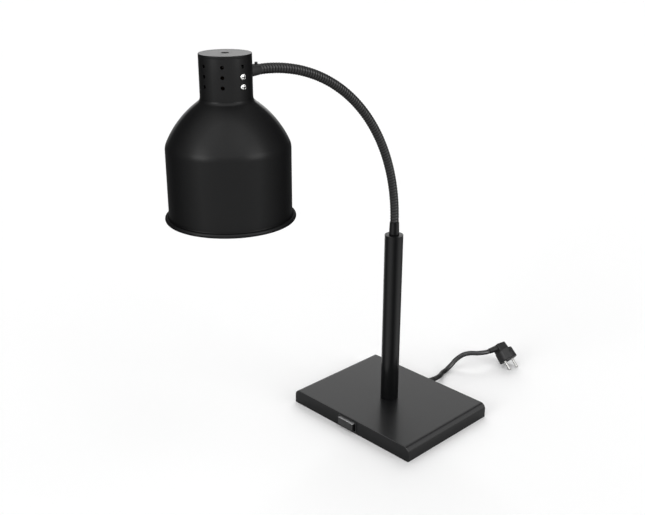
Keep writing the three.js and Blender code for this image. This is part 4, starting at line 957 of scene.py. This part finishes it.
def make_neck():
    """A tube with seven columns of three round vents and the hole for the arm's stud, and its
    flat cap."""
    inner = NECK_RADIUS - NECK_WALL
    wall = eased([(inner, NECK_FOOT), (NECK_RADIUS, NECK_FOOT, 0.2),
                  (NECK_RADIUS, NECK_TOP, 0.2), (inner, NECK_TOP)], closed=True)
    vents = [(VENT_RADIUS, VENT_TOP - j * VENT_PITCH) for j in range(3)]
    drills = []
    for k in range(8):
        turn = -pi / 2 + k * pi / 4
        c, s = cos(turn), sin(turn)
        for radius, height in [(STUD_HOLE, ARM_HEIGHT)] if k == 4 else vents:
            p, f = cylinder(radius, 28, 37, along="right")
            p = p @ np.array([[c, s, 0], [-s, c, 0], [0, 0, 1]]) + (0, HEAD_Y, height)
            drills.append((p, f))
    put("neck", lathe(wall, (0, HEAD_Y, 0), sides=128), paint, "head", "neck_housing",
        "black_paint", holes=drills, sharp=30)
    cap = eased([(CAP_HOLE, CAP_TOP - 1.5, 0.2), (29.9, CAP_TOP - 1.5), (29.9, NECK_TOP - 5),
                 (31.4, NECK_TOP - 5), (31.4, NECK_TOP + 0.1), (NECK_RADIUS, NECK_TOP + 0.1, 0.2),
                 (NECK_RADIUS, CAP_TOP, 0.5), (CAP_HOLE, CAP_TOP, 0.4)], closed=True)
    put("cap", lathe(cap, (0, HEAD_Y, 0), sides=128), cap_paint, "head", "neck_cap",
        "black_paint", inner=(paint, lambda middle, facing: facing[:, 2] < 0.7))


def make_dome_screws():
    """Two dome heads at the neck's right, quarter ellipses turned about X, with cross slots whose
    faces are painted dark steel: painted shade in the recesses."""
    x = NECK_RADIUS + 0.2
    bend = np.linspace(0, pi / 2, 11)
    dome = [(0, -9), (0.8, -9), (2, -7.8), (2, 0), (DOME_RADIUS, 0),
            *np.c_[DOME_RADIUS * np.cos(bend), 0.2 + DOME_RISE * np.sin(bend)]]
    for k in (1, 2):
        z = VENT_TOP - k * VENT_PITCH

        def is_slot(middle, facing):
            reach = np.hypot(middle[:, 1] - HEAD_Y, middle[:, 2] - z)
            bulge = np.sqrt(np.maximum(1 - (reach / DOME_RADIUS) ** 2, 0))
            return (reach < 2.8) & (middle[:, 0] < x + 0.05 + DOME_RISE * bulge)
        put(f"dome_screw_{k}", lathe(dome, (x, HEAD_Y, z), "right", 40), polished_steel, "head",
            f"bracket_screw_{k}", "nickel", inner=(black_steel_and_painted_shade, is_slot),
            holes=cross_slot(4.1, 2.0, (x + 3.0, HEAD_Y, z), "right"))


def shade_profile():
    """The spun wall's section: a hollow fillet up the neck, one arc over the dome, a fillet at
    the shoulder, a straight drum, a short flare and a thick rolled bead; then back up inside at
    the wall's thickness."""
    dx, dz = SHOULDER_RADIUS - LEDGE_RADIUS, SHOULDER - LEDGE
    chord = hypot(dx, dz)
    radius = (chord * chord / 4 + DOME_BULGE ** 2) / (2 * DOME_BULGE)
    back = radius - DOME_BULGE
    cx = (LEDGE_RADIUS + SHOULDER_RADIUS) / 2 + dz / chord * back
    cz = (LEDGE + SHOULDER) / 2 - dx / chord * back
    first = atan2(LEDGE - cz, LEDGE_RADIUS - cx)
    fx = SHOULDER_RADIUS - SHOULDER_FILLET
    fz = cz + sqrt((radius - SHOULDER_FILLET) ** 2 - (fx - cx) ** 2)
    touch = atan2(fz - cz, fx - cx)
    bead_z = RIM + BEAD
    bead = arc(RIM_RADIUS - BEAD, bead_z, BEAD, radians(125), radians(-150), 26)
    t = np.linspace(0, 1, 7)
    flare = np.c_[SHOULDER_RADIUS + (bead[0, 0] - SHOULDER_RADIUS) * t ** 2,
                  bead[0, 1] + FLARE * (1 - t)]
    dome = arc(cx, cz, radius, first, touch, 28)
    foot = NECK_RADIUS + 0.25
    slope = (dome[0, 0] - foot - 0.15) / (dome[1, 0] - dome[0, 0])
    corner = dome[0] + (dome[0] - dome[1]) * slope
    fillet = curve(np.array([foot, LEDGE + 3.6]), corner, dome[1], 9)
    inner = SHOULDER_RADIUS - SHADE_WALL
    return join([
        [(31.4, LEDGE + 8), (31.4, LEDGE), (foot, LEDGE)],
        fillet,
        dome[2:],
        arc(fx, fz, SHOULDER_FILLET, touch, 0, 16)[1:],
        flare,
        bead[1:],
        [(inner, bead_z - 1.2), (inner, bead_z + BEAD)],
        arc(fx, fz, SHOULDER_FILLET - SHADE_WALL, 0, touch, 8),
        arc(cx, cz, radius - SHADE_WALL, touch, first, 20)[1:-1],
        [(30.2, LEDGE - SHADE_WALL), (30.2, LEDGE + 8)],
    ])


def inside_of_shade(middle, facing):
    """True for faces of the shade that look towards the head's axis, above the rolled bead."""
    x, y = middle[:, 0], middle[:, 1] - HEAD_Y
    reach = np.hypot(x, y)
    inward = (facing[:, 0] * x + facing[:, 1] * y) < -0.05 * reach
    return inward & (middle[:, 2] > RIM + 1.5) & (reach < SHOULDER_RADIUS - 0.4)


def make_shade():
    put("shade_bell", lathe(shade_profile(), (0, HEAD_Y, 0), sides=160), spun_paint, "head",
        "shade", "black_spun", inner=(bare_aluminium, inside_of_shade), sharp=34)


def make_bulb():
    """A straight neck, a flare whose radius grows with t^0.625, a round edge and a slightly
    domed face, with a wall of even thickness."""
    rim = BULB_TIP - 27
    widest = BULB_FACE + 22
    t = np.linspace(0, 1, 26) ** 1.6
    flare = np.c_[BULB_NECK + (BULB_RADIUS - BULB_NECK) * t ** 0.625,
                  (rim - 8) + (widest - rim + 8) * t]
    edge = arc(BULB_RADIUS - 12, widest - 6, 12, radians(28), radians(-62), 12)
    t = np.linspace(0, 1, 10)
    last_x, last_z = edge[-1]
    face = np.c_[last_x * (1 - t), last_z + (BULB_FACE + 0.2 - last_z) * (1 - (1 - t) ** 2)]
    outside = join([[(12.1, rim - 0.3), (BULB_NECK, rim - 3)], flare, edge, face[1:]])
    ahead = unit(np.gradient(outside, axis=0))
    inside = outside + np.c_[ahead[:, 1], -ahead[:, 0]] * BULB_WALL
    inside[:, 0] = np.maximum(inside[:, 0], 0)
    inside[-1] = (0, BULB_FACE + 1.4)
    inside[0] = (10.9, rim - 0.3)
    profile = join([outside, inside[::-1], outside[:1]])
    put("bulb", lathe(profile, (0, HEAD_Y, 0), sides=96), ruby, "head", "bulb_glass",
        "ruby_glass", sharp=50)


# Floor, background and lamps

ROOM_LIGHT, FLOOR_GREY, SEEN_WHITER = 0.11, 0.945, 0.05


def seen_as_white(tree):
    """1 for camera, glossy and transmission rays, which see the plain background."""
    rays = node(tree, "LightPath").outputs
    camera, glossy, through = (Level(rays[f"Is {kind} Ray"])
                               for kind in ("Camera", "Glossy", "Transmission"))
    return maths("MAXIMUM", maths("MAXIMUM", camera, glossy), through)


def make_floor():
    """A wide plain floor.  What is seen of it is a little whiter than it lights the lamp."""
    size, z = 40000, -0.02
    points = np.array([[-size, -size, z], [size, -size, z], [size, size, z], [-size, size, z]])
    floor = new_object("floor", points, np.array([[0, 1, 2, 3]]))
    material = bpy.data.materials.new("pale_floor")
    material.use_nodes = True
    tree = material.node_tree
    colour, rough, _ = use_group(tree, GRAIN, Colour=(FLOOR_GREY,) * 3, Spread=0.004,
                                 Roughness=0.8, Roughness_Spread=0.03, Scale=60.0)
    fill(tree.nodes["Principled BSDF"], Base_Color=colour, Roughness=rough,
         Specular_IOR_Level=0.0, Emission_Color=(1, 1, 1),
         Emission_Strength=seen_as_white(tree) * SEEN_WHITER)
    floor.data.materials.append(material)


def make_world():
    """Dim white light, and full white for the rays that see it."""
    world = bpy.data.worlds.new("studio")
    bpy.context.scene.world = world
    world.use_nodes = True
    tree = world.node_tree
    dim, white = (node(tree, "Background", Color=(1, 1, 1), Strength=level).outputs[0]
                  for level in (ROOM_LIGHT, 1.0))
    mix = node(tree, "MixShader", seen_as_white(tree), dim, white)
    fill(tree.nodes["World Output"], Surface=mix.outputs[0])


def make_lamp(name, azimuth, elevation, width, level):
    """A wide soft lamp that by itself lights the floor to a level: its strength is pi level /
    sin(elevation).  Angles are in degrees."""
    a, e = radians(azimuth), radians(elevation)
    data = bpy.data.lights.new(name, "SUN")
    data.angle = radians(width)
    data.energy = pi * level / sin(e)
    place = Vector((cos(a) * cos(e), sin(a) * cos(e), sin(e))) * 3
    turn = (-place).to_track_quat("-Z", "Y").to_matrix().to_4x4()
    placed(name, data).matrix_world = Matrix.Translation(place) @ turn


for make in (make_cover, make_feet, make_screws, make_housing, make_rocker, make_pole, make_hose,
             make_upper_ferrule, make_neck, make_dome_screws, make_shade, make_bulb, make_floor,
             make_world):
    make()
for lamp in (
    ("back", 133, 34, 56, 0.33), ("left", -90, 18, 30, 0.105), ("high_left", -116, 52, 56, 0.15),
    ("front", -38, 50, 60, 0.16), ("right", 14, 18, 30, 0.085), ("high_right", 16, 48, 44, 0.075),
):
    make_lamp(*lamp)

bpy.context.scene.view_settings.view_transform = "Standard"
